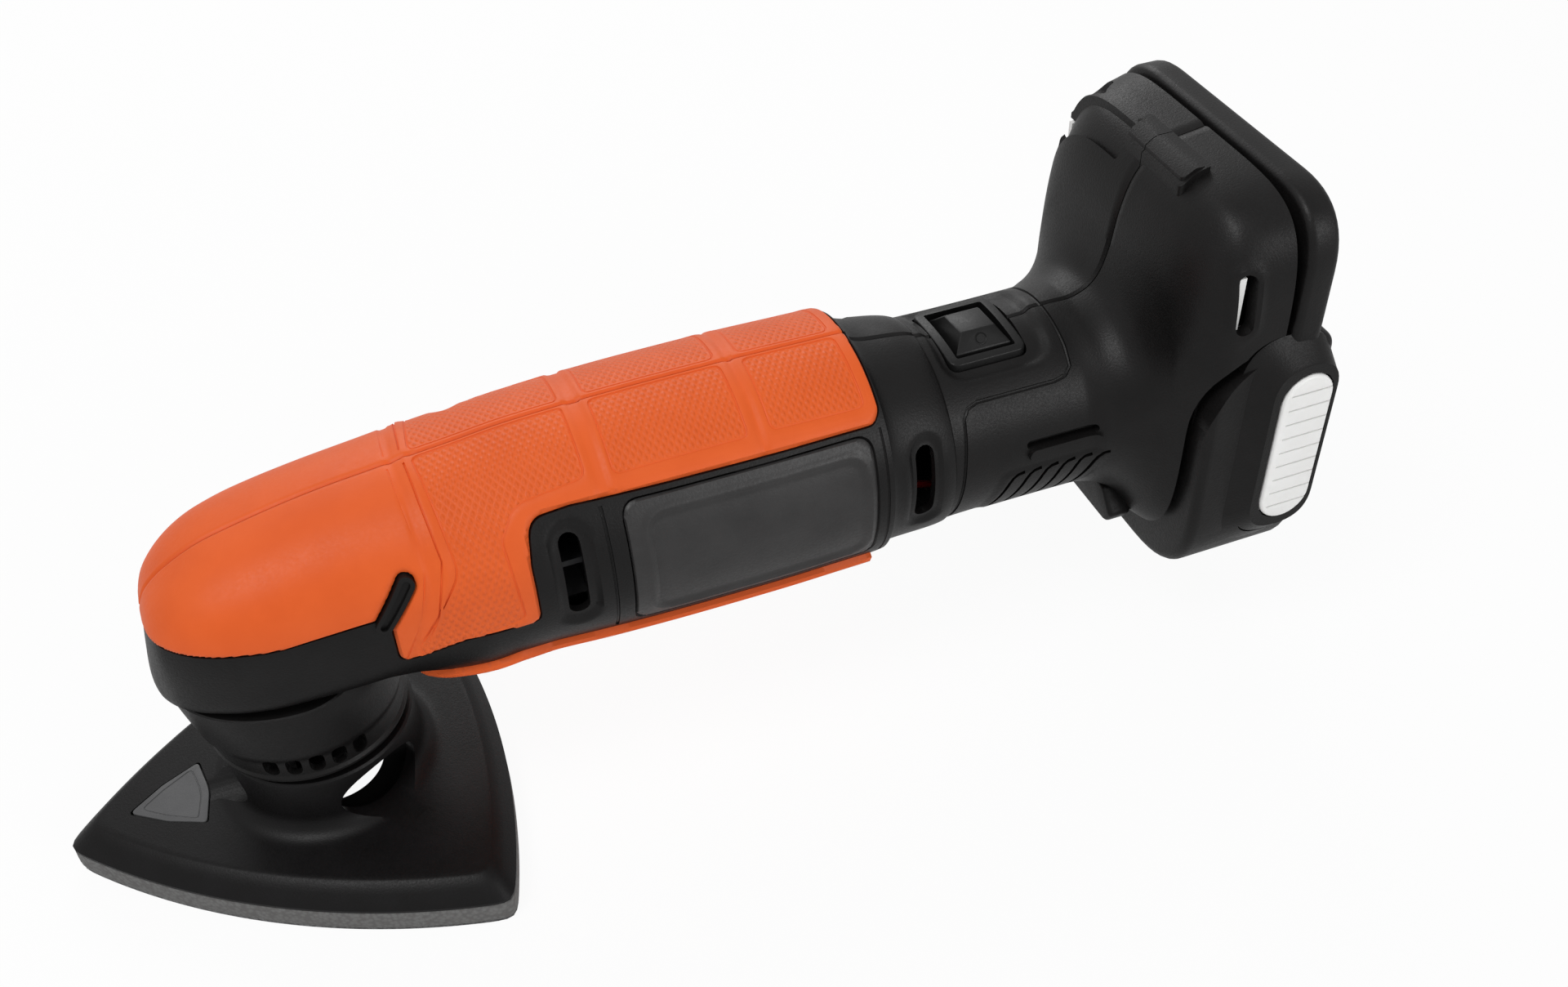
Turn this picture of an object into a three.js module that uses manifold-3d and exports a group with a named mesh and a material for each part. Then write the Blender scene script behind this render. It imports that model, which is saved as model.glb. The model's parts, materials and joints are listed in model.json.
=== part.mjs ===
// Cordless detail sander: a triangular pad on an eccentric spindle, driven by a
// motor that lies in the handle, with a slide-on battery at the rear.
// Millimetres. +X runs to the battery, +Z up, -Y is the operator's left side.
// All pieces are drawn with the spindle axis at x = 0 and the pad's face at z = 0;
// the finished group is then moved so that its origin is midway along the tool.
import * as THREE from 'three';
import { mergeVertices } from 'three/addons/utils/BufferGeometryUtils.js';
import Module from 'manifold-3d';

const wasm = await Module();
wasm.setup();

// ---------------------------------------------------------------- dimensions
const CLEAR = 0.3;            // between pieces that are fitted together
const RUN = 0.15;             // between a shaft or bearing and what holds it
const PARTING = 0.1;          // each clamshell half stops this far from the middle plane
const ROUND = 20;             // facets on turned pieces

const PAD_SIDE = 95;          // point to point of the triangular sanding pad
const PAD_ARC = 151;          // radius of each bulging side
const PAD_SIDE_STEPS = 5;
const HOOK_H = 0.8;
const FOAM_TOP = 5.75;
const PLATEN_EDGE_TOP = 6.8;
const PLATEN_TOP = 11;
const PLATEN_BEVEL = 4.2;     // width of the sloping border
const PAD_HOLE_R = 10.9;      // centre hole, for reaching the platen screw

const COLLAR_ROOF = 42.6;
const CUP_R = 19.4;
const CUP_WALL = 2;
const CUP_TOP = 25.2;
const CUP_FLOOR = 8.8;
const WINDOW_HALF_W = 9.6;
const WINDOW_HALF_H = 6.3;
const WINDOW_Z = 17;

const ORBIT_R = 0.8;          // eccentricity of the spindle's pin
const PIN_R = 2.5;
const SMALL_BEARING = { bore: 2.5, outer: 6.5, width: 4 };
const LOWER_BEARING = { bore: 4, outer: 9.5, width: 5 };
const UPPER_BEARING = { bore: 2.5, outer: 5.3, width: 3 };
const POST_R = 1.8;
const POST_CIRCLE = 13.6;

const AXIS_Z = 61;            // height of the motor shaft
const GEAR_TEETH = 26;
const PINION_TEETH = 13;
const GEAR_MODULE = 1;
const GEAR_FACE = 5;

const FLOOR_Z = 46.5;         // underside of the head
const WALL = 2.8;             // moulded housing wall
const GRIP_T = 1.5;           // soft skin let into the housing
const GRIP_PROUD = 0.45;      // how far the soft skin stands out
const BELLY_PROUD = 1.9;      // the same for the lip under the body
const BODY_R = 25.2;
const HANDLE_R = 21.9;
const HANDLE_Z = 59.2;
const BODY_END = 119.3;       // rear end of the thick part
const RING_END = 134;

const FOOT_FRONT = 178;
const FOOT_REAR = 196.8;
const FOOT_HALF_W = 36.6;
const FOOT_TOP = 115.2;
const FOOT_BOTTOM = 29;
const FOOT_STEP_Z = 90;       // below this the foot stops short of the battery
const FOOT_STEP_X = 181.2;

const SLAB_FRONT = 199;
const SLAB_REAR = 206;
const PACK_REAR = 210;
const PACK_BOTTOM = 22;
const PACK_TOP = 84;          // top of the thick part of the battery
const PACK_WALL = 1.8;
const LOBE_Y = 40;            // how far the button lobes reach to each side
const LOBE_FRONT = 191.6;
const LOBE_BOTTOM = 34;
const CELL_R = 9.1;
const CELL_LENGTH = 65;
const CELL_X = 194.8;
const CELL_PITCH = 18.3;
const BUTTON = { x: 202.7, z: 60, width: 11.7, height: 37.5 };
const SPRING_SEAT = 29.9;      // where each button's spring bears, to either side
const LATCH = { x0: 186.2, x1: 190, y0: 31.9, y1: 33.1, top: 101 };

const MOTOR_R = 16.5;
const MOTOR_FRONT = 66;
const MOTOR_REAR = 112;
const ARMATURE_R = MOTOR_R - 4.5;
const SHAFT_R = 2.5;
const FAN_X = 50;
const FAN_R = 19;
const FAN_BLADES = 11;

const SWITCH = { x0: 138.2, x1: 155.4, halfY: 9.8, top: 79.8, pivotZ: 74 };
const SCREW_R = 1.4;
const SCREW_HEAD_R = 2.8;
const SCREWS = [
  { x: -16.5, z: 62.5 }, { x: 40.5, z: 78.6 }, { x: 33, z: 43.4 },
  { x: 122.5, z: 78.4 }, { x: 122.5, z: 41.4 }, { x: 190, z: 110.2 },
];

// ------------------------------------------------------------- solids helpers
function solid(geometry) {
  const bare = geometry.clone();
  for (const name of ['normal', 'uv']) if (bare.getAttribute(name)) bare.deleteAttribute(name);
  const merged = mergeVertices(bare, 1e-4);
  const vertProperties = Float32Array.from(merged.getAttribute('position').array);
  const facing = (triVerts) => new wasm.Manifold(new wasm.Mesh({ numProp: 3, vertProperties, triVerts }));
  const corners = Uint32Array.from(merged.getIndex().array);
  const made = facing(corners);
  return made.volume() > 0 ? made : facing(corners.toReversed());
}

function geometryOf(manifold) {
  const mesh = manifold.getMesh();
  const geometry = new THREE.BufferGeometry();
  geometry.setAttribute('position', new THREE.BufferAttribute(mesh.vertProperties, 3));
  geometry.setIndex(new THREE.BufferAttribute(mesh.triVerts, 1));
  const flat = geometry.toNonIndexed();
  flat.computeVertexNormals();
  return flat;
}

const join = (first, ...rest) => rest.reduce((sum, other) => sum.add(other), first);
const cut = (first, ...rest) => rest.reduce((left, other) => left.subtract(other), first);

function box(x0, x1, y0, y1, z0, z1) {
  const geometry = new THREE.BoxGeometry(x1 - x0, y1 - y0, z1 - z0);
  geometry.translate((x0 + x1) / 2, (y0 + y1) / 2, (z0 + z1) / 2);
  return solid(geometry);
}

// A solid of revolution about Z from [radius, height] points, listed anticlockwise.
function turned(profile, segments = ROUND) {
  const points = profile.map(([r, z]) => new THREE.Vector2(r, z));
  const geometry = new THREE.LatheGeometry([...points, points[0].clone()], segments);
  geometry.rotateX(Math.PI / 2);
  return solid(geometry);
}

const rod = (r, z0, z1, segments = ROUND) => turned([[0, z0], [r, z0], [r, z1], [0, z1]], segments);
const tube = (inner, outer, z0, z1, segments = ROUND) =>
  turned([[inner, z0], [outer, z0], [outer, z1], [inner, z1]], segments);

// The same solids laid along X (towards the battery) or along Y.
const alongX = (made, y = 0, z = 0) => made.rotate([0, 90, 0]).translate([0, y, z]);
const alongY = (made, x = 0, z = 0) => made.rotate([-90, 0, 0]).translate([x, 0, z]);

// An outline with rounded corners: each point is [u, v, corner radius].
function outline(points) {
  const shape = new THREE.Shape();
  const count = points.length;
  points.forEach(([u, v, r = 0], i) => {
    const here = new THREE.Vector2(u, v);
    const before = new THREE.Vector2(...points[(i + count - 1) % count]).sub(here);
    const after = new THREE.Vector2(...points[(i + 1) % count]).sub(here);
    const half = before.angleTo(after) / 2;
    const back = Math.min(r / Math.tan(half), 0.49 * before.length(), 0.49 * after.length());
    const start = here.clone().addScaledVector(before.clone().normalize(), back);
    const end = here.clone().addScaledVector(after.clone().normalize(), back);
    if (i === 0) shape.moveTo(start.x, start.y);
    else shape.lineTo(start.x, start.y);
    if (r > 0) shape.quadraticCurveTo(here.x, here.y, end.x, end.y);
  });
  shape.closePath();
  return shape;
}

function prism(shape, from, to, curveSegments = 4) {
  const geometry = new THREE.ExtrudeGeometry(shape, { depth: to - from, bevelEnabled: false, curveSegments });
  geometry.translate(0, 0, from);
  return solid(geometry);
}

// A side-view outline in (x, z), extruded along Y.
const sideCut = (points, y0, y1) => prism(outline(points), -y1, -y0).rotate([90, 0, 0]);
// An end-view outline in (y, z), extruded along X.
const endCut = (points, x0, x1) => prism(outline(points), x0, x1).rotate([90, 0, 90]);
// A plan outline in (x, y), extruded along Z.
const planCut = (points, z0, z1) => prism(outline(points), z0, z1);

const pill = (cu, cv, width, height, k = 0.98) => [
  [cu - width / 2, cv - height / 2, k * width / 2], [cu + width / 2, cv - height / 2, k * width / 2],
  [cu + width / 2, cv + height / 2, k * width / 2], [cu - width / 2, cv + height / 2, k * width / 2],
];
const rounded = (u0, u1, v0, v1, r) => [[u0, v0, r], [u1, v0, r], [u1, v1, r], [u0, v1, r]];

// A closed skin through rings that hold the same number of points.
function skin(rings) {
  const positions = [];
  const count = rings[0].length;
  const middle = (ring) => ring.reduce((s, p) => s.add(p), new THREE.Vector3()).divideScalar(ring.length);
  const put = (...points) => points.forEach((p) => positions.push(p.x, p.y, p.z));
  for (let k = 0; k + 1 < rings.length; k += 1) {
    for (let i = 0; i < count; i += 1) {
      const j = (i + 1) % count;
      put(rings[k][i], rings[k + 1][j], rings[k][j]);
      put(rings[k][i], rings[k + 1][i], rings[k + 1][j]);
    }
  }
  const last = rings.at(-1);
  const capA = middle(rings[0]);
  const capB = middle(last);
  for (let i = 0; i < count; i += 1) {
    const j = (i + 1) % count;
    put(capA, rings[0][i], rings[0][j]);
    put(capB, last[j], last[i]);
  }
  const geometry = new THREE.BufferGeometry();
  geometry.setAttribute('position', new THREE.Float32BufferAttribute(positions, 3));
  return solid(geometry);
}

// -------------------------------------------------------------- housing shape
// Stations along the tool: half width, top, bottom, widest level and how square
// the upper and lower halves of the section are (2 is an ellipse).
const HEAD_STATIONS = [
  { x: -25.4, w: 2.4, top: 50.5, bottom: FLOOR_Z + 0.5, mid: 48.6, up: 2, down: 2 },
  { x: -24.6, w: 6.2, top: 55.5, bottom: FLOOR_Z, mid: 50, up: 2.2, down: 4 },
  { x: -23.2, w: 9.2, top: 62.5, bottom: FLOOR_Z, mid: 52, up: 2.4, down: 6 },
  { x: -21.3, w: 12.1, top: 67.8, bottom: FLOOR_Z, mid: 54, up: 2.8, down: 6 },
  { x: -18, w: 15, top: 71.4, bottom: FLOOR_Z, mid: 55, up: 2.9, down: 6 },
  { x: -14, w: 17.3, top: 74, bottom: FLOOR_Z, mid: 56, up: 2.9, down: 6 },
  { x: -9, w: 19.2, top: 76.3, bottom: FLOOR_Z, mid: 56, up: 2.8, down: 6 },
  { x: -2, w: 20.6, top: 78.2, bottom: FLOOR_Z, mid: 57, up: 2.7, down: 6 },
  { x: 7, w: 21.1, top: 80.2, bottom: FLOOR_Z, mid: 58, up: 2.6, down: 6 },
  { x: 16, w: 21.6, top: 81.7, bottom: FLOOR_Z - 0.3, mid: 59, up: 2.5, down: 5 },
  { x: 22, w: 22.3, top: 82.4, bottom: 43.4, mid: 60, up: 2.4, down: 3.4 },
  { x: 29, w: 23.3, top: 83.3, bottom: 39.8, mid: 60.5, up: 2.3, down: 2.8 },
  { x: 38, w: 24.4, top: 84.3, bottom: 37.2, mid: AXIS_Z, up: 2.2, down: 2.5 },
];
const bodyStation = (x, extra = 0) => ({
  x, w: BODY_R + extra, top: AXIS_Z + BODY_R + extra, bottom: AXIS_Z - BODY_R - extra,
  mid: AXIS_Z, up: 2.15, down: 2.1,
});
const roundStation = (x, r) => ({
  x, w: r, top: HANDLE_Z + r, bottom: HANDLE_Z - r, mid: HANDLE_Z, up: 2, down: 2,
});
const BODY_STATIONS = [
  bodyStation(50, -0.5), bodyStation(62, 0.1), bodyStation(78, 0.5), bodyStation(95, 0.6),
  bodyStation(108, 0.4), bodyStation(BODY_END, 0),
];
const RING_STATIONS = [
  { ...bodyStation(BODY_END + 0.4, -1.1), mid: AXIS_Z }, { ...roundStation(RING_END, HANDLE_R + 0.6) },
];
const HANDLE_STATIONS = [
  roundStation(RING_END + 0.4, HANDLE_R + 0.1), roundStation(150, HANDLE_R - 0.1),
  roundStation(164, HANDLE_R),
];
const footStation = (x, w, top, bottom, power) => ({
  x, w, top, bottom, mid: HANDLE_Z + (x - 164) * 0.4, up: power, down: power,
});
const FOOT_STATIONS = [
  footStation(169, 23.2, 81, 36.8, 2.1), footStation(173, 24.8, 82.2, 36, 2.2),
  footStation(176, 26.4, 85.4, 34.8, 2.5), footStation(FOOT_FRONT - 0.2, 27.8, 91.5, 33.4, 2.9),
  footStation(FOOT_FRONT + 0.9, 29.2, 99, 32.2, 3.4), footStation(180.6, 31.2, 105.4, 31, 4),
  footStation(183.2, 33.4, 110, 30, 4.6), footStation(187, 35.4, FOOT_TOP - 1.4, FOOT_BOTTOM, 5),
  footStation(FOOT_REAR, FOOT_HALF_W, FOOT_TOP, FOOT_BOTTOM - 0.5, 5.4),
];
const STATIONS = [...HEAD_STATIONS, ...BODY_STATIONS, ...RING_STATIONS, ...HANDLE_STATIONS, ...FOOT_STATIONS];

function sectionRing(s, grow, quarter) {
  const ring = [];
  for (let i = 0; i < 4 * quarter; i += 1) {
    const t = ((i + 0.5) * Math.PI) / (2 * quarter);
    const c = Math.cos(t);
    const v = Math.sin(t);
    const upper = v >= 0;
    const power = 2 / (upper ? s.up : s.down);
    const reach = upper ? s.top - s.mid : s.mid - s.bottom;
    ring.push(new THREE.Vector3(
      s.x,
      Math.sign(c) * (s.w + grow) * Math.abs(c) ** power,
      s.mid + Math.sign(v) * (reach + grow) * Math.abs(v) ** power,
    ));
  }
  return ring;
}

const QUARTER = 5;            // points to a quarter of each ring, outside and inside
const INNER_QUARTER = 3;

// The housing's outer form, grown or shrunk by a distance, between two stations.
function form(grow, from = -Infinity, to = Infinity, quarter = QUARTER) {
  const nose = STATIONS[0].x;
  const used = STATIONS.filter((s) => s.x >= from && s.x <= to);
  const rings = used.map((s) => {
    const shift = Math.max(0, 1 - (s.x - nose) / 22) * grow;
    return sectionRing({ ...s, x: s.x - shift }, grow, quarter);
  });
  return skin(rings);
}

// ------------------------------------------------------------------- the pad
// A triangle with bulging sides, its point to the front, shrunk by an inset.
function padOutline(inset, cornerR) {
  const reach = PAD_SIDE / Math.sqrt(3);
  const half = Math.asin(PAD_SIDE / 2 / PAD_ARC);
  const points = [];
  for (let side = 0; side < 3; side += 1) {
    const facing = (side * 2 * Math.PI) / 3;
    const apothem = reach / 2;
    const back = PAD_ARC * Math.cos(half) - apothem;
    const r = PAD_ARC - inset;
    const edge = half - Math.asin((cornerR + inset * Math.sqrt(3)) / PAD_ARC);
    for (let k = 0; k <= PAD_SIDE_STEPS; k += 1) {
      const a = facing - edge + (k * 2 * edge) / PAD_SIDE_STEPS;
      points.push([r * Math.cos(a) - back * Math.cos(facing), r * Math.sin(a) - back * Math.sin(facing)]);
    }
  }
  return points;
}

function padPlate(inset0, inset1, z0, z1, cornerR = 1.6) {
  const ring = (inset, z) => padOutline(inset, cornerR).map(([x, y]) => new THREE.Vector3(x + ORBIT_R, y, z));
  return skin([ring(inset0, z0), ring(inset1, z1)]);
}

const padHole = (z0, z1, r = PAD_HOLE_R) => rod(r, z0, z1).translate([ORBIT_R, 0, 0]);

function insertOutline(grow) {
  const tip = -PAD_SIDE / Math.sqrt(3) + PLATEN_BEVEL * 2 + 5.4;
  return [
    [tip - 1.6 * grow, 0, 1], [tip + 7, -4.9 - grow, 8], [tip + 14.6 + grow, -8.3 - grow, 0.8],
    [tip + 16 + grow, 0, 12], [tip + 14.6 + grow, 8.3 + grow, 0.8], [tip + 7, 4.9 + grow, 8],
  ];
}

function makePlaten() {
  const top = PLATEN_TOP;
  const rim = padPlate(0, 0, FOAM_TOP, PLATEN_EDGE_TOP);
  const slope = padPlate(0, PLATEN_BEVEL, PLATEN_EDGE_TOP - 0.01, top);
  const cup = turned([
    [CUP_R - CUP_WALL, CUP_FLOOR], [CUP_R + 3.6, top - 0.5], [CUP_R + 1.4, top + 0.4],
    [CUP_R + 0.4, top + 1.8], [CUP_R, top + 4.5], [CUP_R + 0.3, CUP_TOP - 1.4], [CUP_R - 0.5, CUP_TOP], [CUP_R - CUP_WALL, CUP_TOP],
  ], 24).translate([ORBIT_R, 0, 0]);
  const pocket = rod(CUP_R - CUP_WALL, CUP_FLOOR, CUP_TOP + 5, 24).translate([ORBIT_R, 0, 0]);
  const { outer } = SMALL_BEARING;
  let platen = cut(join(rim, slope, cup), pocket, padHole(0, CUP_TOP));
  for (let arm = 0; arm < 3; arm += 1) {
    const turn = arm * 120;
    const spoke = box(outer + 0.6, CUP_R - 0.7, -2.6, 2.6, 12.6, 18);
    const socket = rod(POST_R + 2.9, 12.6, 20, 8).translate([POST_CIRCLE, 0, 0]);
    platen = join(platen, spoke.rotate([0, 0, turn]).translate([ORBIT_R, 0, 0]));
    platen = join(platen, socket.rotate([0, 0, turn]).translate([ORBIT_R, 0, 0]));
  }
  platen = join(platen, rod(outer + 2, 12.6, 19).translate([ORBIT_R, 0, 0]));
  const bore = turned([
    [0, 12], [outer - 1.2, 12], [outer - 1.2, 13.6], [outer + RUN, 13.6], [outer + RUN, 20], [0, 20],
  ]).translate([ORBIT_R, 0, 0]);
  platen = cut(platen, bore, planCut(insertOutline(CLEAR), top - 0.9, top + 1).translate([ORBIT_R, 0, 0]));
  for (let arm = 0; arm < 3; arm += 1) {
    const hole = rod(POST_R + ORBIT_R + 0.6, 14, 26, 8).translate([POST_CIRCLE, 0, 0]);
    const oval = rod(1, CUP_R - 5, CUP_R + 5, 12).scale([WINDOW_HALF_H, WINDOW_HALF_W, 1]);
    const window = alongX(oval, 0, WINDOW_Z);
    platen = cut(platen, hole.rotate([0, 0, arm * 120]).translate([ORBIT_R, 0, 0]));
    platen = cut(platen, window.rotate([0, 0, arm * 120 + 60]).translate([ORBIT_R, 0, 0]));
  }
  return platen;
}

const makeFoam = () => cut(padPlate(0.25, 0, HOOK_H, FOAM_TOP, 2), padHole(0, FOAM_TOP + 1));
const makeHook = () => cut(padPlate(0.3, 0.3, 0, HOOK_H, 2), padHole(-1, HOOK_H + 1));
const makeInsert = () =>
  planCut(insertOutline(0), PLATEN_TOP - 0.6, PLATEN_TOP + 0.15).translate([ORBIT_R, 0, 0]);

// --------------------------------------------------------------- spindle side
const bearing = (b, z0) => turned([
  [b.bore + RUN, z0], [b.outer - 0.15, z0], [b.outer - 0.15, z0 + b.width], [b.bore + RUN, z0 + b.width],
], 20);

const LOWER_BEARING_Z = 41.8;
const UPPER_BEARING_Z = 68.4;
const PIN_TOP = 21;
const PIN_BOTTOM = 13.9;

function makeSpindle() {
  const shaft = turned([
    [0, PIN_TOP], [LOWER_BEARING.bore, PIN_TOP], [LOWER_BEARING.bore, 58], [UPPER_BEARING.bore, 60],
    [UPPER_BEARING.bore, UPPER_BEARING_Z + UPPER_BEARING.width], [0, UPPER_BEARING_Z + UPPER_BEARING.width],
  ]);
  const pin = rod(PIN_R, PIN_BOTTOM, PIN_TOP + 1).translate([ORBIT_R, 0, 0]);
  return cut(join(shaft, pin), rod(SCREW_R, PIN_BOTTOM - 1, 19.5, 10).translate([ORBIT_R, 0, 0]));
}

function makeCounterweight() {
  const disc = tube(LOWER_BEARING.bore + RUN, 11, 24, 33);
  return cut(disc, box(5.2, 20, -20, 20, 20, 40));
}

function makePlatenScrew() {
  const head = turned([
    [0, 10.4], [3.2, 10.4], [3.6, 10.8], [3.6, 12.8], [4.7, 12.8], [4.7, 13.6], [0, 13.6],
  ], 14);
  const socket = rod(1.6, 10, 11.8, 6);
  return cut(join(head, rod(SCREW_R - 0.25, 12, 18.5, 12)), socket).translate([ORBIT_R, 0, 0]);
}

// One straight bevel gear about Z with its pitch apex at the origin and its
// teeth facing +Z; "mate" is the other gear's tooth count.
function bevelGear(teeth, mate, boreR, hubR, hubDepth) {
  const pitchR = (GEAR_MODULE * teeth) / 2;
  const pitchH = (GEAR_MODULE * mate) / 2;
  const length = Math.hypot(pitchR, pitchH);
  const cosD = pitchH / length;
  const sinD = pitchR / length;
  const virtualR = pitchR / cosD;
  const baseR = virtualR * Math.cos((20 * Math.PI) / 180);
  const inv = (a) => Math.tan(a) - a;
  const thin = 0.84;
  const halfAt = (height) => {
    const r = virtualR + height;
    const press = r > baseR ? Math.acos(baseR / r) : 0;
    const atPitch = (thin * Math.PI * GEAR_MODULE) / 4 / virtualR;
    return (atPitch + inv((20 * Math.PI) / 180) - inv(press)) / cosD;
  };
  const heights = [-1.2, 0.95].map((h) => h * GEAR_MODULE);
  const flank = heights.map((h) => [h, halfAt(h)]);
  const ringAt = (scale) => {
    const ring = [];
    for (let k = 0; k < teeth; k += 1) {
      const centre = ((k + 0.5) * 2 * Math.PI) / teeth;
      const side = [...flank.map(([h, a]) => [h, -a]), ...flank.toReversed()];
      side.forEach(([h, a]) => {
        const r = (pitchR + h * cosD) * scale;
        const z = -(pitchH - h * sinD) * scale;
        ring.push(new THREE.Vector3(r * Math.cos(centre + a), r * Math.sin(centre + a), z));
      });
    }
    return ring;
  };
  const back = -(pitchH + 1.2 * GEAR_MODULE * sinD) - 0.4;
  const front = ringAt((length - GEAR_FACE) / length);
  const outer = ringAt(1);
  const rootR = pitchR - 1.2 * GEAR_MODULE * cosD - 0.6;
  const rear = outer.map((p) => new THREE.Vector3(p.x, p.y, 0).setLength(rootR).setZ(back));
  const blank = skin([front, outer, rear]);
  const hub = rod(hubR, back - hubDepth, back + 1, 16);
  return cut(join(blank, hub), rod(boreR, -200, 200));
}

// ------------------------------------------------------------------ gear frame
function makeFrame() {
  const seatR = LOWER_BEARING.outer;
  const plateZ = FLOOR_Z + WALL + CLEAR;
  const plate = rod(14.6, plateZ, plateZ + 2);
  const boss = rod(seatR + 2.3, LOWER_BEARING_Z - 1.2, plateZ + 1);
  const wall = box(13, 22.5, -13.4, 13.4, plateZ, 72.2);
  const arm = box(-7.2, 22.5, -6.2, 6.2, 68.9, 72.2);
  const shaftBoss = alongX(rod(SMALL_BEARING.outer + 2.4, 19, 26), 0, AXIS_Z);
  const gearRoom = rod(14.2, plateZ + 2, 68.2);
  const pinionRoom = alongX(rod(8.2, 0, 19), 0, AXIS_Z);
  const lowerSeat = rod(seatR + RUN, LOWER_BEARING_Z, LOWER_BEARING_Z + LOWER_BEARING.width + RUN);
  const spindleWay = rod(seatR - 2.4, 30, plateZ + 3);
  const shaftSeat = alongX(rod(SMALL_BEARING.outer + RUN, 21.4, 30), 0, AXIS_Z);
  const shaftWay = alongX(rod(SMALL_BEARING.outer - 2, 10, 30), 0, AXIS_Z);
  const upperSeat = rod(UPPER_BEARING.outer + RUN, 60, UPPER_BEARING_Z + UPPER_BEARING.width + RUN);
  const upperWay = rod(UPPER_BEARING.bore + 1, 60, 80);
  const inHead = form(-WALL - CLEAR, -Infinity, BODY_END, INNER_QUARTER);
  const frame = cut(join(plate, wall, arm), gearRoom, pinionRoom).intersect(inHead);
  return cut(join(frame, boss, shaftBoss), lowerSeat, spindleWay, shaftSeat, shaftWay, upperSeat, upperWay);
}

// ----------------------------------------------------------------- motor side
function makeMotorShaft() {
  const gearEnd = (GEAR_MODULE * GEAR_TEETH) / 2 - GEAR_FACE;
  return alongX(turned([
    [0, gearEnd + 0.4], [2, gearEnd + 0.4], [2, 18.8], [SHAFT_R, 18.8], [SHAFT_R, MOTOR_REAR + 6.5],
    [0, MOTOR_REAR + 6.5],
  ]), 0, AXIS_Z);
}

function makeFan() {
  const hub = tube(SHAFT_R + RUN, 5.5, FAN_X - 1, FAN_X + 9);
  const plate = tube(5, FAN_R, FAN_X + 7.2, FAN_X + 8.8);
  let fan = join(hub, plate);
  for (let k = 0; k < FAN_BLADES; k += 1) {
    const blade = box(5, FAN_R - 0.4, -0.6, 0.6, FAN_X, FAN_X + 7.4).rotate([0, 0, (k * 360) / FAN_BLADES]);
    fan = join(fan, blade);
  }
  return alongX(fan, 0, AXIS_Z);
}

function makeMotorCan() {
  const wallT = 1.5;
  const can = turned([
    [SHAFT_R + 0.6, MOTOR_FRONT - 3.5], [5.5, MOTOR_FRONT - 3.5], [5.5, MOTOR_FRONT],
    [MOTOR_R - 1, MOTOR_FRONT], [MOTOR_R, MOTOR_FRONT + 1], [MOTOR_R, MOTOR_REAR],
    [MOTOR_R - wallT, MOTOR_REAR], [MOTOR_R - wallT, MOTOR_FRONT + wallT], [SHAFT_R + 0.6, MOTOR_FRONT + wallT],
  ]);
  let open = can;
  for (let k = 0; k < 2; k += 1) {
    open = cut(open, box(-40, 40, -3, 3, MOTOR_REAR - 12, MOTOR_REAR - 6).rotate([0, 0, 90 * k]));
  }
  return alongX(open, 0, AXIS_Z);
}

function makeMagnet(side) {
  const ring = tube(ARMATURE_R + 0.9, MOTOR_R - 1.8, MOTOR_FRONT + 6, MOTOR_FRONT + 33);
  const half = ring.intersect(box(-10, 10, 0, 30, 0, 200));
  return alongX(half.rotate([0, 0, side > 0 ? 0 : 180]), 0, AXIS_Z);
}

function makeArmature() {
  let core = tube(SHAFT_R + RUN, ARMATURE_R, MOTOR_FRONT + 8, MOTOR_FRONT + 31);
  for (let k = 0; k < 5; k += 1) {
    const slot = box(ARMATURE_R - 4.5, ARMATURE_R + 1, -0.9, 0.9, MOTOR_FRONT, MOTOR_FRONT + 40).rotate([0, 0, k * 72]);
    core = cut(core, slot);
  }
  const ends = tube(SHAFT_R + RUN, ARMATURE_R - 2.4, MOTOR_FRONT + 4, MOTOR_FRONT + 36);
  return alongX(join(core, ends), 0, AXIS_Z);
}

const makeCommutator = () => alongX(tube(SHAFT_R + RUN, 5, MOTOR_FRONT + 37, MOTOR_FRONT + 43.5), 0, AXIS_Z);

function makeBrush(side) {
  const brush = box(MOTOR_FRONT + 38.5, MOTOR_FRONT + 42.5, 5.3, 9.6, -1.8, 1.8).translate([0, 0, AXIS_Z]);
  return side > 0 ? brush : brush.mirror([0, 1, 0]);
}

function makeEndCap() {
  const cap = join(
    alongX(tube(SHAFT_R + 0.5, MOTOR_R - 0.2, MOTOR_REAR + CLEAR, MOTOR_REAR + 2.6), 0, AXIS_Z),
    alongX(tube(SHAFT_R + 0.5, SMALL_BEARING.outer + 1.8, MOTOR_REAR + 2, MOTOR_REAR + 6.3), 0, AXIS_Z),
  );
  const seat = alongX(rod(SMALL_BEARING.outer + RUN, MOTOR_REAR + 1.9, MOTOR_REAR + 8), 0, AXIS_Z);
  let made = cut(cap, seat);
  for (const side of [-1, 1]) {
    const holder = cut(
      box(MOTOR_FRONT + 37.6, MOTOR_REAR + 1, 5.7, 11.4, -3.1, 3.1),
      box(MOTOR_FRONT + 38.2, MOTOR_FRONT + 42.8, 5, 9.9, -2.1, 2.1),
    ).translate([0, 0, AXIS_Z]);
    made = join(made, side > 0 ? holder : holder.mirror([0, 1, 0]));
  }
  return made;
}

// -------------------------------------------------------------------- housing
// Side outlines in (x, z, corner radius).
const topGripOutline = (grow) => [
  [-40, 64.6 - grow, 0], [0, 64 - grow, 6], [19.6 - grow, 65.6 - grow, 0.5],
  [19.6 - grow, 54.2 - grow, 2.4], [24, 54.6 - grow, 3], [32.5, 56.7 - grow, 6], [46.4 + grow, 57 - grow, 2],
  [46.4 + grow, 70, 8], [47.6 + grow, 77.7 - grow, 4], [56, 78.4 - grow, 5], [117, 78.3 - grow, 3],
  [118.6 + grow, 80, 2], [119 + grow, 95, 0], [-40, 95, 0],
];
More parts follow.
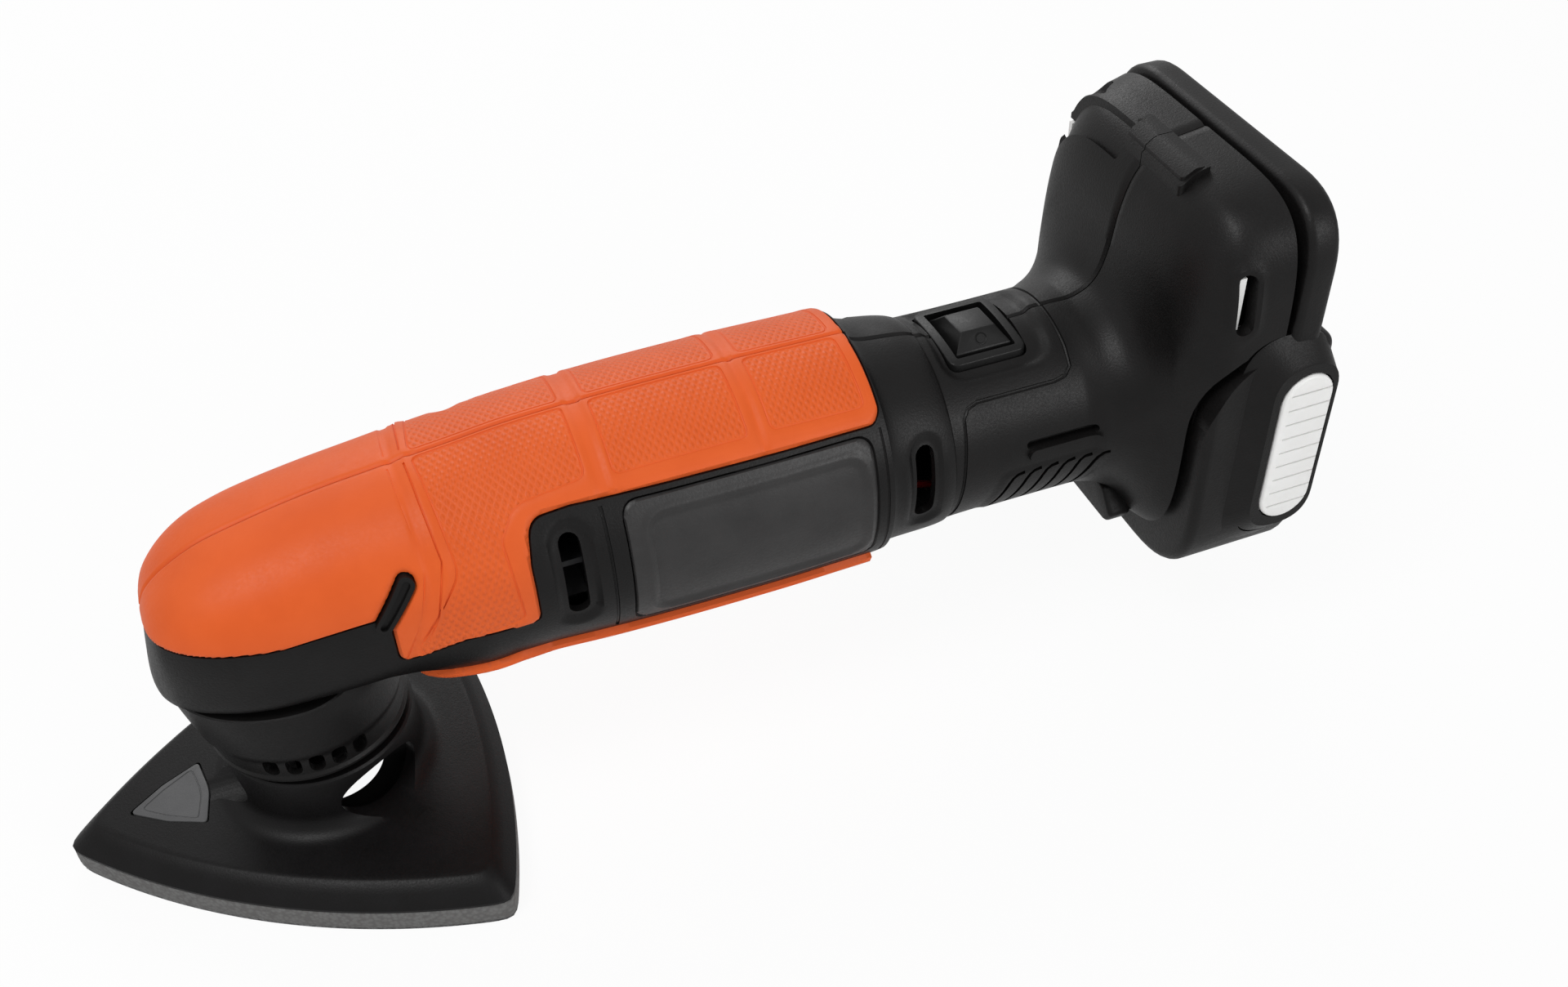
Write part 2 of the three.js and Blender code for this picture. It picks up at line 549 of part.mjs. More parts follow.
// The finger of hard plastic that runs up into the soft skin.
function finger(grow) {
  const base = new THREE.Vector2(17, 62.2);
  const tip = new THREE.Vector2(23.9, 72);
  const along = tip.clone().sub(base).normalize();
  const half = 1.5 + grow;
  const corner = (at, side, ahead, r) => [
    at.x - side * half * along.y + ahead * along.x, at.y + side * half * along.x + ahead * along.y, r,
  ];
  return sideCut([
    corner(base, 1, 0, 0), corner(base, -1, 0, 0), corner(tip, -1, grow, half), corner(tip, 1, grow, half),
  ], -80, 80);
}

const bellyGripOutline = (grow) => [
  [22.6 - grow, 44.6 + grow, 1], [30, 45.4 + grow, 5], [42, 47 + grow, 4], [48, 44.9 + grow, 4],
  [116.6 + grow, 44.6 + grow, 1], [116.6 + grow, 20, 0], [22.6 - grow, 20, 0],
];
const panelOutline = (grow) => rounded(65 - grow, 115.6 + grow, 47.4 - grow, 77 + grow, 3.5);

const outward = (side, y0, y1) => (side < 0 ? [-y1, -y0] : [y0, y1]);
const sideOf = (side) => box(-80, 260, ...outward(side, PARTING, 80), -20, 160);

function gripLayer(shape, side, proud) {
  const layer = cut(form(proud, -Infinity, BODY_END), form(-GRIP_T, -Infinity, BODY_END + 1));
  return layer.intersect(shape).intersect(sideOf(side));
}

const inSide = (points, side) => sideCut(points, ...outward(side, PARTING, 80));

const makeTopGrip = (side) => cut(
  gripLayer(inSide(topGripOutline(0), side), side, GRIP_PROUD),
  finger(CLEAR), ...screwPockets(side, SCREW_HEAD_R + 0.9),
);
const makeBellyGrip = (side) => cut(
  gripLayer(inSide(bellyGripOutline(0), side), side, BELLY_PROUD), ...screwPockets(side, SCREW_HEAD_R + 0.9),
);
const makeSidePanel = (side) => {
  const layer = cut(form(0.1, 38, BODY_END), form(-1.2, 38, BODY_END + 1));
  return layer.intersect(inSide(panelOutline(0), side)).intersect(sideOf(side));
};

// Counterbored ways for the screws, which go in from the right side.
function screwPockets(side, r) {
  if (side < 0) return [];
  return SCREWS.map(({ x, z }) => alongY(rod(r, 7.6, 60, 10), x, z));
}

function makeScrew({ x, z }) {
  const turnedScrew = turned([
    [0, -6], [0.6, -6], [SCREW_R - 0.2, -4.6], [SCREW_R - 0.2, 7.9], [SCREW_HEAD_R - 0.2, 7.9],
    [SCREW_HEAD_R - 0.2, 9.4], [SCREW_HEAD_R - 0.9, 10.2], [0, 10.2],
  ], 10);
  return alongY(turnedScrew, x, z);
}

const footCutOutline = [
  [FOOT_STEP_X, 0, 0], [FOOT_STEP_X, FOOT_STEP_Z - 1.2, 9], [FOOT_STEP_X + 8, FOOT_STEP_Z + 1, 3],
  [260, FOOT_STEP_Z + 4, 0], [260, 0, 0],
];

const footMouth = rounded(-FOOT_HALF_W + 3, FOOT_HALF_W - 3, FOOT_BOTTOM + 3, FOOT_TOP - 3, 12);

function makeHousing(side) {
  const outer = form(0);
  const cavity = join(
    form(-WALL, -Infinity, BODY_END, INNER_QUARTER),
    form(-WALL, BODY_END - 12, RING_END + 1, INNER_QUARTER),
    alongX(rod(HANDLE_R - WALL, RING_END - 1, FOOT_FRONT + 3), 0, HANDLE_Z),
    form(-WALL, FOOT_FRONT + 0.5, Infinity, INNER_QUARTER),
    endCut(footMouth, FOOT_REAR - 3, FOOT_REAR + 5),
  );
  const ribs = [MOTOR_FRONT + 3, MOTOR_REAR - 4].map((x) => alongX(
    tube(MOTOR_R + RUN, BODY_R - 1, x, x + 2.4), 0, AXIS_Z,
  ));
  let shell = join(cut(outer, cavity), ...ribs.map((rib) => rib.intersect(outer)));
  const bosses = SCREWS.map(({ x, z }) => alongY(rod(SCREW_R + 2, -14, 14, 8), x, z).intersect(outer));
  const sinks = SCREWS.map(({ x, z }) => alongY(rod(SCREW_HEAD_R + 1.9, 6, 40, 10), x, z).intersect(outer));
  shell = join(shell, ...bosses, ...(side > 0 ? sinks : []));
  const bores = SCREWS.map(({ x, z }) => alongY(rod(SCREW_R, -9, 30, 8), x, z));
  const gripRoom = cut(form(4, -Infinity, BODY_END), form(-GRIP_T - CLEAR, -Infinity, BODY_END + 1));
  const topRoom = cut(gripRoom.intersect(sideCut(topGripOutline(CLEAR), -80, 80)), finger(0));
  const bellyRoom = gripRoom.intersect(sideCut(bellyGripOutline(CLEAR), -80, 80));
  const panelLayer = cut(form(4, 38, BODY_END), form(-1.2 - CLEAR, 38, BODY_END + 1));
  const panelRoom = panelLayer.intersect(sideCut(panelOutline(CLEAR), -80, 80));
  const headHole = rod(LOWER_BEARING.outer + 3, FLOOR_Z - 5, FLOOR_Z + WALL + 0.5);
  shell = cut(shell, ...bores, ...screwPockets(side, SCREW_HEAD_R), topRoom, bellyRoom, panelRoom, headHole);
  shell = cut(shell, ...ventCuts(side), switchRoom(), sideCut(footCutOutline, -80, 80));
  shell = cut(shell, latchSlot(side), packRoom());
  return shell.intersect(sideOf(side));
}

function ventCuts(side) {
  const cuts = [
    sideCut(pill(FAN_X + 4.2, 64.4, 4.2, 19), ...outward(side, 10, 40)),
    sideCut(pill(127.4, 61.2, 4.4, 18), ...outward(side, 8, 40)),
  ];
  for (let k = 0; k < 5; k += 1) {
    const x = 147.5 + k * 4.3;
    const lean = [[x, 55.8], [x + 2.1, 55.8], [x + 0.4, 46], [x - 1.7, 46]];
    cuts.push(sideCut(lean, ...outward(side, 10, 40)));
  }
  return cuts;
}

// The slot that shows the battery's catch, and the room behind it.
function latchSlot(side) {
  const { x0, x1, y0, y1, top } = LATCH;
  const slot = sideCut(pill((x0 + x1) / 2 - 0.5, 96, 3.4, 13), ...outward(side, 20, 50));
  const [low, high] = outward(side, y0 - 3, y1 + 0.6);
  return join(slot, box(x0 - 1.2, x1 + 20, low, high, FOOT_STEP_Z - 4, top + 1.4));
}

// ------------------------------------------------------------------- switch
function switchRoom() {
  const { x0, x1, halfY } = SWITCH;
  return planCut(rounded(x0 - CLEAR, x1 + CLEAR, -halfY - CLEAR, halfY + CLEAR, 2.2), 68, 100);
}

function makeBezel() {
  const { x0, x1, halfY, top, pivotZ } = SWITCH;
  const plate = planCut(rounded(x0, x1, -halfY, halfY, 2), pivotZ, top);
  const rim = planCut(rounded(x0 + 1.3, x1 - 1.3, -halfY + 1.3, halfY - 1.3, 1.4), top - 1, top + 2);
  const opening = box(x0 + 2.2, x1 - 2.2, -halfY + 1.9, halfY - 1.9, 60, 90);
  return cut(plate, rim, opening);
}

function makeRocker() {
  const { x0, x1, halfY, top, pivotZ } = SWITCH;
  const a = x0 + 2.2 + CLEAR;
  const b = x1 - 2.2 - CLEAR;
  const edge = halfY - 1.9 - CLEAR;
  const profile = [
    [-edge + 1, top - 1.2], [-4.4, top + 2.3], [2.6, top + 1.9], [edge - 0.4, top - 3.2], [edge - 0.8, pivotZ - 1],
    [3, pivotZ - 2.6], [-3, pivotZ - 2.6], [-edge + 0.4, pivotZ - 1],
  ];
  const body = endCut(profile, a, b);
  const taper = 3;
  const high = planCut(rounded(a - 2, b + 2, -20, 20, 0), 60, top - 0.4);
  const ring = (from, to, z) => [[from, -20], [to, -20], [to, 20], [from, 20]].map(
    ([x, y]) => new THREE.Vector3(x, y, z),
  );
  const cap = skin([ring(a, b, top - 1), ring(a + taper, b - taper, top + 3)]);
  return body.intersect(join(high, cap));
}

function makeSwitchModule() {
  const { x0, x1, halfY, pivotZ } = SWITCH;
  const body = box(x0 + 0.6, x1 - 0.6, -halfY + 1, halfY - 1, 56, pivotZ - 3 - CLEAR);
  const tabs = [-1, 1].map((s) => box(x0 + 5, x0 + 7, s * 4 - 2, s * 4 + 2, 51.5, 57));
  return join(body, ...tabs);
}

// -------------------------------------------------------------------- collar
function makeCollar() {
  const topZ = FLOOR_Z - CLEAR;
  const bottomZ = CUP_TOP + 1.8;
  const ring = (z, front, rear, w, count = 24) => Array.from({ length: count }, (_, i) => {
    const a = (i * 2 * Math.PI) / count;
    const c = Math.cos(a);
    return new THREE.Vector3(c * (c < 0 ? front : rear), w * Math.sin(a), z);
  });
  const outer = skin([
    ring(bottomZ, 19.9, 19.9, 19.9), ring(bottomZ + 4, 21, 19.9, 20.1), ring(COLLAR_ROOF, 23.6, 19.4, 20.3),
    ring(topZ, 24.2, 14.6, 20.2),
  ]);
  const inner = skin([
    ring(bottomZ - 1, 17.8, 17.8, 17.8), ring(bottomZ + 4, 18.9, 17.8, 18),
    ring(COLLAR_ROOF, 21.4, 17.2, 18.2),
  ]);
  let collar = cut(outer, inner, rod(LOWER_BEARING.outer + 3, 30, 60));
  for (const facing of [-92, 92]) {
    for (let k = -2; k <= 2; k += 1) {
      const notch = box(16, 24, -1.6, 1.6, bottomZ - 1, bottomZ + 5).rotate([0, 0, facing + k * 13]);
      collar = cut(collar, notch);
    }
  }
  return collar;
}

function makePost(index) {
  const post = turned([
    [0, 15.4], [POST_R - 0.5, 15.4], [POST_R, 16], [POST_R - 0.4, 28], [POST_R, COLLAR_ROOF], [0, COLLAR_ROOF],
  ], 8);
  return post.translate([POST_CIRCLE, 0, 0]).rotate([0, 0, index * 120]);
}

// -------------------------------------------------------------------- battery
const lowerPackOutline = (grow) => {
  const y = FOOT_HALF_W + grow;
  return [
    [-y, PACK_BOTTOM - grow, 15 + grow], [y, PACK_BOTTOM - grow, 15 + grow],
    [y, PACK_TOP + grow, 3], [-y, PACK_TOP + grow, 3],
  ];
};

function packOuter(grow) {
  const y = FOOT_HALF_W + grow;
  const slabOutline = rounded(-y, y, PACK_BOTTOM - grow, FOOT_TOP + grow, 15 + grow);
  const slab = endCut(slabOutline, SLAB_FRONT - grow, SLAB_REAR + grow);
  const lower = endCut(lowerPackOutline(grow), FOOT_STEP_X + 2 - grow, PACK_REAR + grow);
  const [low, high] = [LOBE_BOTTOM - grow, PACK_TOP + grow];
  const lobeSide = rounded(LOBE_FRONT - grow, PACK_REAR + grow, low, high, 9.5 + grow);
  const lobe = sideCut(lobeSide, -LOBE_Y - grow, LOBE_Y + grow);
  return { slab, lower, lobe };
}

function packRoom() {
  const { slab, lower, lobe } = packOuter(1.6);
  return join(slab, lower, lobe);
}

const TOWER = { front: 183.8, top: 96.5, halfY: 29.2, wall: 1.5 };

function buttonOutline(grow) {
  const { x, z, width, height } = BUTTON;
  return pill(x, z, width + 2 * grow, height + 2 * grow);
}

function makePackCase() {
  const { slab, lower, lobe } = packOuter(0);
  const { front, top, halfY, wall } = TOWER;
  const w = PACK_WALL;
  const hollow = join(
    endCut(lowerPackOutline(-w), FOOT_STEP_X + 2 + w, PACK_REAR - w),
    box(front + wall, SLAB_REAR - w, -halfY + wall, halfY - wall, 40, top - wall),
  );
  const lobeRoom = rounded(LOBE_FRONT + w, PACK_REAR - w, LOBE_BOTTOM + w, PACK_TOP - w, 8);
  const lobes = sideCut(lobeRoom, -LOBE_Y + w, LOBE_Y - w);
  const openings = sideCut(buttonOutline(CLEAR + 0.1), -60, 60);
  const tongueWays = [-1, 1].map((s) => {
    const way = outward(s, LATCH.y0 - 2.8, LATCH.y1 + 0.8);
    return box(LATCH.x0 - 0.8, LATCH.x1 + 1, ...way, PACK_TOP - 4, PACK_TOP + 3);
  });
  const springSeats = [-1, 1].map((s) => box(
    BUTTON.x - 4.2, PACK_REAR - 0.5, ...outward(s, SPRING_SEAT - 1.5, SPRING_SEAT), BUTTON.z - 8, BUTTON.z + 8,
  ));
  return join(cut(join(slab, lower, lobe), hollow, lobes, openings, ...tongueWays), ...springSeats);
}

function makeTower() {
  const { front, top, halfY, wall } = TOWER;
  const outer = endCut(rounded(-halfY, halfY, PACK_TOP - 30, top, 6), front, SLAB_FRONT - CLEAR);
  const room = rounded(-halfY + wall, halfY - wall, PACK_TOP - 40, top - wall, 4.5);
  const inner = endCut(room, front + wall, SLAB_FRONT + 2);
  const slots = [-8, 0, 8].map((y) => box(front - 1, 195, y - 1.5, y + 1.5, top - 3, top + 2));
  return cut(outer, inner, box(150, 230, -60, 60, 0, PACK_TOP + CLEAR), ...slots);
}

const makeCell = (index) => {
  const z0 = PACK_BOTTOM + PACK_WALL + 2;
  const cell = join(rod(CELL_R, z0, z0 + CELL_LENGTH - 1, 20), rod(3, z0, z0 + CELL_LENGTH, 10));
  return cell.translate([CELL_X, (index - 1) * CELL_PITCH, 0]);
};

function makeBoard() {
  const { front, halfY, wall } = TOWER;
  const reach = halfY - wall - CLEAR;
  return box(front + wall + CLEAR, 200.6, -reach, reach, 91.1, 92.3);
}

function makeButton(side) {
  const { x, z, width, height } = BUTTON;
  const cap = sideCut(buttonOutline(0), LOBE_Y - 7, LOBE_Y + 0.6);
  let button = cap;
  const ribs = 7;
  for (let k = 0; k < ribs; k += 1) {
    const at = z + ((k - (ribs - 1) / 2) * (height - 9)) / (ribs - 1);
    button = cut(button, box(x - width / 2 + 1.4, x + width, LOBE_Y + 0.1, LOBE_Y + 2, at - 0.45, at + 0.45));
  }
  const flangeOutline = rounded(x - 8.6, PACK_REAR - PACK_WALL - CLEAR, z - 20.6, z + 20.6, 5);
  const flange = sideCut(flangeOutline, LOBE_Y - 7, LOBE_Y - PACK_WALL - CLEAR);
  const arm = join(
    box(LATCH.x0, x, LATCH.y0, LOBE_Y - 5.4, z + 15, z + 19),
    box(LATCH.x0, LATCH.x1, LATCH.y0, LATCH.y1, z + 15, LATCH.top),
  );
  button = join(button, flange, arm);
  return side > 0 ? button : button.mirror([0, 1, 0]);
}

function makeButtonSpring(side) {
  const rings = 3;
  const y0 = SPRING_SEAT + CLEAR;
  const pitch = (LOBE_Y - 7 - CLEAR - y0) / rings;
  const coil = new THREE.CatmullRomCurve3(Array.from({ length: rings * 8 + 1 }, (_, i) => {
    const a = (i * Math.PI) / 4;
    const along = 0.4 + (i * (pitch * rings - 0.8)) / (rings * 8);
    return new THREE.Vector3(2.6 * Math.cos(a), 2.6 * Math.sin(a), along);
  }));
  const wire = new THREE.Shape().absarc(0, 0, 0.35, 0, Math.PI * 2);
  const geometry = new THREE.ExtrudeGeometry(wire, { steps: rings * 8, extrudePath: coil, curveSegments: 2 });
  const spring = solid(geometry).rotate([-90, 0, 0]).translate([BUTTON.x, y0, BUTTON.z]);
  return side > 0 ? spring : spring.mirror([0, 1, 0]);
}

function makeTerminalBlock() {
  const { front, top } = TOWER;
  const block = box(front + 1, front + 11, -12.5, 12.5, top + 0.8, top + 7.6);
  const blades = [-8, 0, 8].map((y) => box(front + 2.5, front + 9.5, y - 0.5, y + 0.5, top - 1.5, top + 1.5));
  return join(block, ...blades);
}

// --------------------------------------------------------------------- leads
// A short insulated wire between two pieces, through points chosen by hand.
function lead(points) {
  const path = new THREE.CatmullRomCurve3(points.map((p) => new THREE.Vector3(...p)));
  const wire = new THREE.Shape().absarc(0, 0, 0.8, 0, Math.PI * 2);
  return solid(new THREE.ExtrudeGeometry(wire, { steps: 14, extrudePath: path, curveSegments: 3 }));
}

const LEADS = {
  lead_battery_to_switch: [
    [183.3, 5, 101.4], [181.9, 6, 97], [180.8, 7, 91], [181, 8, 79], [176, 9, 69], [170, 9, 66],
    [162, 8, 63], [155, 6, 63],
  ],
  lead_switch_to_motor: [[137.2, 4, 60], [133, 8, 58], [127, 9, 58], [121, 11, 60], [115.4, 11, 61]],
  lead_battery_to_motor: [
    [183.3, -5, 101.4], [181.9, -6, 97], [180.8, -7, 91], [181, -8, 79], [176, -10, 68], [166, -13, 60],
    [150, -14.3, 52], [132, -13, 52], [121, -12, 58], [115.4, -11, 61],
  ],
};

// ------------------------------------------------------------------- assembly
const finish = (color, roughness = 0.6, metalness = 0) => ({ color, roughness, metalness });
const ORANGE = finish(0xf15a22, 0.55);
const BLACK = finish(0x1d1d1f, 0.6);
const GREY = finish(0x5f6062, 0.8);
const WHITE = finish(0xf2f2f0, 0.4);
const STEEL = finish(0xa9abad, 0.35, 0.9);
const DARK_STEEL = finish(0x55585c, 0.45, 0.8);
const BRASS = finish(0xb98a4a, 0.4, 0.9);
const COPPER = finish(0xb5673a, 0.4, 0.7);
const GREEN = finish(0x1f5a37, 0.5);
const BLUE = finish(0x2d6fb3, 0.5);
const RED = finish(0xb8201e, 0.5);

const sander = new THREE.Group();

function add(name, manifold, look, group = sander) {
  const mesh = new THREE.Mesh(geometryOf(manifold), new THREE.MeshStandardMaterial(look));
  mesh.name = name;
  group.add(mesh);
  return mesh;
}

const sides = [['left', -1], ['right', 1]];
for (const [word, side] of sides) {
  add(`${word}_housing`, makeHousing(side), BLACK);
  add(`${word}_grip`, makeTopGrip(side), ORANGE);
  add(`${word}_belly_grip`, makeBellyGrip(side), ORANGE);
  add(`${word}_side_panel`, makeSidePanel(side), BLACK);
}
SCREWS.forEach((place, i) => add(`housing_screw_${i + 1}`, makeScrew(place), DARK_STEEL));
add('switch_bezel', makeBezel(), BLACK);
add('rocker_button', makeRocker(), BLACK);
add('switch_module', makeSwitchModule(), BLACK);
add('collar', makeCollar(), BLACK);

const apex = new THREE.Group();
apex.position.z = AXIS_Z;
sander.add(apex);
add('gear_frame', makeFrame(), STEEL);
add('lower_spindle_bearing', bearing(LOWER_BEARING, LOWER_BEARING_Z), STEEL);
add('upper_spindle_bearing', bearing(UPPER_BEARING, UPPER_BEARING_Z), STEEL);
add('spindle', makeSpindle(), STEEL);
add('bevel_gear', bevelGear(GEAR_TEETH, PINION_TEETH, LOWER_BEARING.bore + RUN, 7.5, 0.6), BRASS, apex);
add('counterweight', makeCounterweight(), DARK_STEEL);
add('platen_screw', makePlatenScrew(), DARK_STEEL);
add('eccentric_bearing', bearing(SMALL_BEARING, 14).translate([ORBIT_R, 0, 0]), STEEL);

const pinion = new THREE.Group();
pinion.rotation.y = -Math.PI / 2;
apex.add(pinion);
add('bevel_pinion', bevelGear(PINION_TEETH, GEAR_TEETH, 2 + RUN, 4.6, 2.6), STEEL, pinion);
add('front_shaft_bearing', alongX(bearing(SMALL_BEARING, 21.6), 0, AXIS_Z), STEEL);
add('motor_shaft', makeMotorShaft(), STEEL);
add('cooling_fan', makeFan(), BLACK);
add('motor_can', makeMotorCan(), STEEL);
sides.forEach(([word, side]) => add(`${word}_magnet`, makeMagnet(side), DARK_STEEL));
add('armature', makeArmature(), COPPER);
add('commutator', makeCommutator(), COPPER);
sides.forEach(([word, side]) => add(`${word}_brush`, makeBrush(side), DARK_STEEL));
add('motor_end_cap', makeEndCap(), BLACK);
add('rear_shaft_bearing', alongX(bearing(SMALL_BEARING, MOTOR_REAR + 2.1), 0, AXIS_Z), STEEL);

add('platen', makePlaten(), BLACK);
add('foam_pad', makeFoam(), GREY);
add('hook_face', makeHook(), GREY);
add('tip_insert', makeInsert(), GREY);
for (let k = 0; k < 3; k += 1) add(`flexible_post_${k + 1}`, makePost(k), BLACK);

add('battery_case', makePackCase(), BLACK);
add('battery_tower', makeTower(), BLACK);
for (let k = 0; k < 3; k += 1) add(`battery_cell_${k + 1}`, makeCell(k), BLUE);
add('battery_board', makeBoard(), GREEN);
for (const [word, side] of sides) {
  add(`${word}_release_button`, makeButton(side), WHITE);
  add(`${word}_button_spring`, makeButtonSpring(side), STEEL);
}
add('terminal_block', makeTerminalBlock(), BLACK);
for (const [name, points] of Object.entries(LEADS)) add(name, lead(points), RED);

// The origin is on the ground plane, midway between the pad's point and the battery.
const extent = new THREE.Box3().setFromObject(sander);
sander.position.x = -(extent.min.x + extent.max.x) / 2;

export default sander;
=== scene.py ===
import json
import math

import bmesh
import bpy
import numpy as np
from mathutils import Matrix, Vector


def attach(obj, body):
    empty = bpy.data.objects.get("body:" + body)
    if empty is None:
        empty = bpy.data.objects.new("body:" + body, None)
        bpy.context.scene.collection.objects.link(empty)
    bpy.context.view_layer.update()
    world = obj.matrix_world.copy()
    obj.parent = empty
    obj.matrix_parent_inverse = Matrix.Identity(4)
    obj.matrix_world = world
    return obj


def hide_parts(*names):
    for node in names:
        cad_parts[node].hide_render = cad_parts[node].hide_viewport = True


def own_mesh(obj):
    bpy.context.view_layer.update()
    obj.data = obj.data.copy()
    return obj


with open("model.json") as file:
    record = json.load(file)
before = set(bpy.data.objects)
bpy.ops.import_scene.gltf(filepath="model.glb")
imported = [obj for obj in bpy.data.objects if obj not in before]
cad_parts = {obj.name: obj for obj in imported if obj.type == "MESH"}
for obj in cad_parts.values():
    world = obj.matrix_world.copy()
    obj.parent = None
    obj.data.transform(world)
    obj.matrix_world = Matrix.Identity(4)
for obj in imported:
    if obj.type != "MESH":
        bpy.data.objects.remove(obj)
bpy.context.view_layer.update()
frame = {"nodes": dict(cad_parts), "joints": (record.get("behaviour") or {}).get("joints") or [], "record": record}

# %% [markdown]
# # A cordless detail sander
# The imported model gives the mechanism: every gear, bearing, cell and screw has its
# place, and each moving body has its joint. This notebook dresses it. The parts
# that a hand or an eye meets (the clamshell, the soft skin, the pad, the switch
# and the battery) are modelled again as smooth moulded pieces. The parts inside
# keep their meshes and only get a finish.
#
# Everything is drawn in millimetres with the spindle's axis at x = 0, the way a
# designer would, and `to_frame` moves a finished mesh to metres and to its place.

JOINTS = {joint["name"]: joint for joint in frame["joints"]}
MM = 0.001
SPINDLE_X = JOINTS["spindle_spin"]["pos_m"][0]
ORBIT = (JOINTS["pad_orbit"]["pos_m"][0] - SPINDLE_X) / MM
AXIS_Z = JOINTS["motor_spin"]["pos_m"][2] / MM
SIDES = (("left", -1), ("right", 1))


def to_frame(x, y, z):
    """A point given in millimetres from the spindle's axis, in the frame's metres."""
    return Vector((x * MM + SPINDLE_X, y * MM, z * MM))


print("spindle axis at", round(SPINDLE_X, 5), "m, pin off centre by", round(ORBIT, 2), "mm")

# %% [markdown]
# ## Sizes
# The clamshell is one long form: a blunt head over the pad, a thick body around
# the motor, a ring, a round handle and a foot that spreads to the battery. It is
# described by stations along X. Each one has its half width, its top and bottom,
# its widest level, and how square its upper and lower halves are (2 is an ellipse).

# %% Driving sizes in millimetres
PAD_SIDE = 95
PAD_ARC = 151
PAD_HOLE_R = 10.9
TIP_SOFTNESS = 1.6
HOOK_H, FOAM_TOP, EDGE_TOP, PLATEN_TOP = 0.8, 5.75, 6.8, 11
PLATEN_BEVEL = 4.2
CUP_R, CUP_WALL, CUP_TOP, CUP_FLOOR = 19.4, 2, 25.2, 8.8
COLLAR_TOP, COLLAR_BOTTOM = 46.2, 27
FLOOR_Z, SPINDLE_HOLE_R = 46.5, 12.5
WALL = 2.8
CLEAR = 0.3
PARTING = 0.1
SKIN_T = 1.5
PROUD, LIP_PROUD = 0.45, 1.9
SHELL_STEP, SKIN_STEP, LAYER_STEP = 0.72, 0.56, 0.5
BODY_R, HANDLE_R, HANDLE_Z = 25.2, 21.9, 59.2
BODY_END, RING_END, HANDLE_END = 119.3, 134, 166
FOOT_FRONT, FOOT_REAR, FOOT_HALF_W, FOOT_TOP, FOOT_BOTTOM = 178, 196.8, 36.6, 115.2, 29
FOOT_STEP_X, FOOT_STEP_Z = 181.2, 86.6
SLAB_FRONT, SLAB_REAR, PACK_REAR = 199, 206, 210
SLAB_CORNER_LOW, SLAB_CORNER_HIGH, CELL_ROOM_HALF_W = 20, 15, 30.6
PACK_BOTTOM, PACK_TOP, PACK_WALL, PACK_GAP = 22, 84, 1.8, 1.2
LOBE_Y, LOBE_FRONT, LOBE_BOTTOM = 40, 191.6, 34
BUTTON_X, BUTTON_Z, BUTTON_W, BUTTON_H = 202.7, 60, 11.7, 37.5
SWITCH_X0, SWITCH_X1, SWITCH_HALF_Y, SWITCH_TOP, PIVOT_Z = 138.2, 155.4, 9.8, 79.8, 74
SCREWS = [(-16.5, 62.5), (40.5, 78.6), (33, 43.4), (122.5, 78.4), (122.5, 41.4), (190, 110.2)]
SCREW_HEAD_R = 2.8

# %% Stations of the clamshell
HEAD = [
    (-25.55, 0.3, 49, 48.2, 48.6, 2, 2), (-25.4, 2.4, 50.5, 47, 48.6, 2, 2),
    (-24.6, 6.2, 55.5, 46.5, 50, 2.2, 4), (-23.2, 9.2, 62.5, 46.5, 52, 2.4, 6),
    (-21.3, 12.1, 67.8, 46.5, 54, 2.8, 6), (-18, 15, 71.4, 46.5, 55, 2.9, 6),
    (-14, 17.3, 74, 46.5, 56, 2.9, 6), (-9, 19.2, 76.3, 46.5, 56, 2.8, 6),
    (-2, 20.6, 78.2, 46.5, 57, 2.7, 6), (7, 21.1, 80.2, 46.5, 58, 2.6, 6),
    (16, 21.6, 81.7, 46.2, 59, 2.5, 5), (22, 22.3, 82.4, 43.4, 60, 2.4, 3.4),
    (29, 23.3, 83.3, 39.8, 60.5, 2.3, 2.8), (38, 24.4, 84.3, 37.2, 61, 2.2, 2.5),
]
BODY = [
    (x, BODY_R + more, AXIS_Z + BODY_R + more, AXIS_Z - BODY_R - more, AXIS_Z, 2.15, 2.1)
    for x, more in ((50, -0.5), (62, 0.1), (78, 0.5), (95, 0.6), (108, 0.4), (BODY_END, 0), (BODY_END + 0.4, -1.1))
]
HANDLE = [
    (x, r, HANDLE_Z + r, HANDLE_Z - r, HANDLE_Z, 2, 2)
    for x, r in ((RING_END, HANDLE_R + 0.6), (RING_END + 0.4, HANDLE_R + 0.1), (150, HANDLE_R - 0.1), (164, HANDLE_R))
]
FOOT = [
    (x, w, top, bottom, HANDLE_Z + (x - 164) * 0.4, power, power)
    for x, w, top, bottom, power in (
        (169, 23.2, 81, 36.8, 2.1), (173, 24.8, 82.2, 36, 2.2), (176, 26.4, 85.4, 34.8, 2.5),
        (FOOT_FRONT - 0.2, 27.8, 91.5, 33.4, 2.9), (FOOT_FRONT + 0.9, 29.2, 99, 32.2, 3.4),
        (180.6, 31.2, 105.4, 31, 4), (183.2, 33.4, 110, 30, 4.6),
        (187, 35.4, FOOT_TOP - 1.9, FOOT_BOTTOM, 5), (FOOT_REAR, FOOT_HALF_W, FOOT_TOP, FOOT_BOTTOM - 0.5, 5.4),
    )
]
STATIONS = np.array(HEAD + BODY + HANDLE + FOOT)
STATION_STEPS = np.hypot(np.diff(STATIONS[:, 0]), np.diff(STATIONS[:, 2]))
STATION_T = np.concatenate([[0], np.cumsum(STATION_STEPS)])
print(len(STATIONS), "stations,", round(float(STATION_T[-1])), "mm along the top")

# %% [markdown]
# ## Curves through the stations
# A plain polyline between stations would show as facets, and an ordinary spline
# overshoots beside a step. A monotone cubic does neither, so it is the usual
# choice for a hull or a housing.

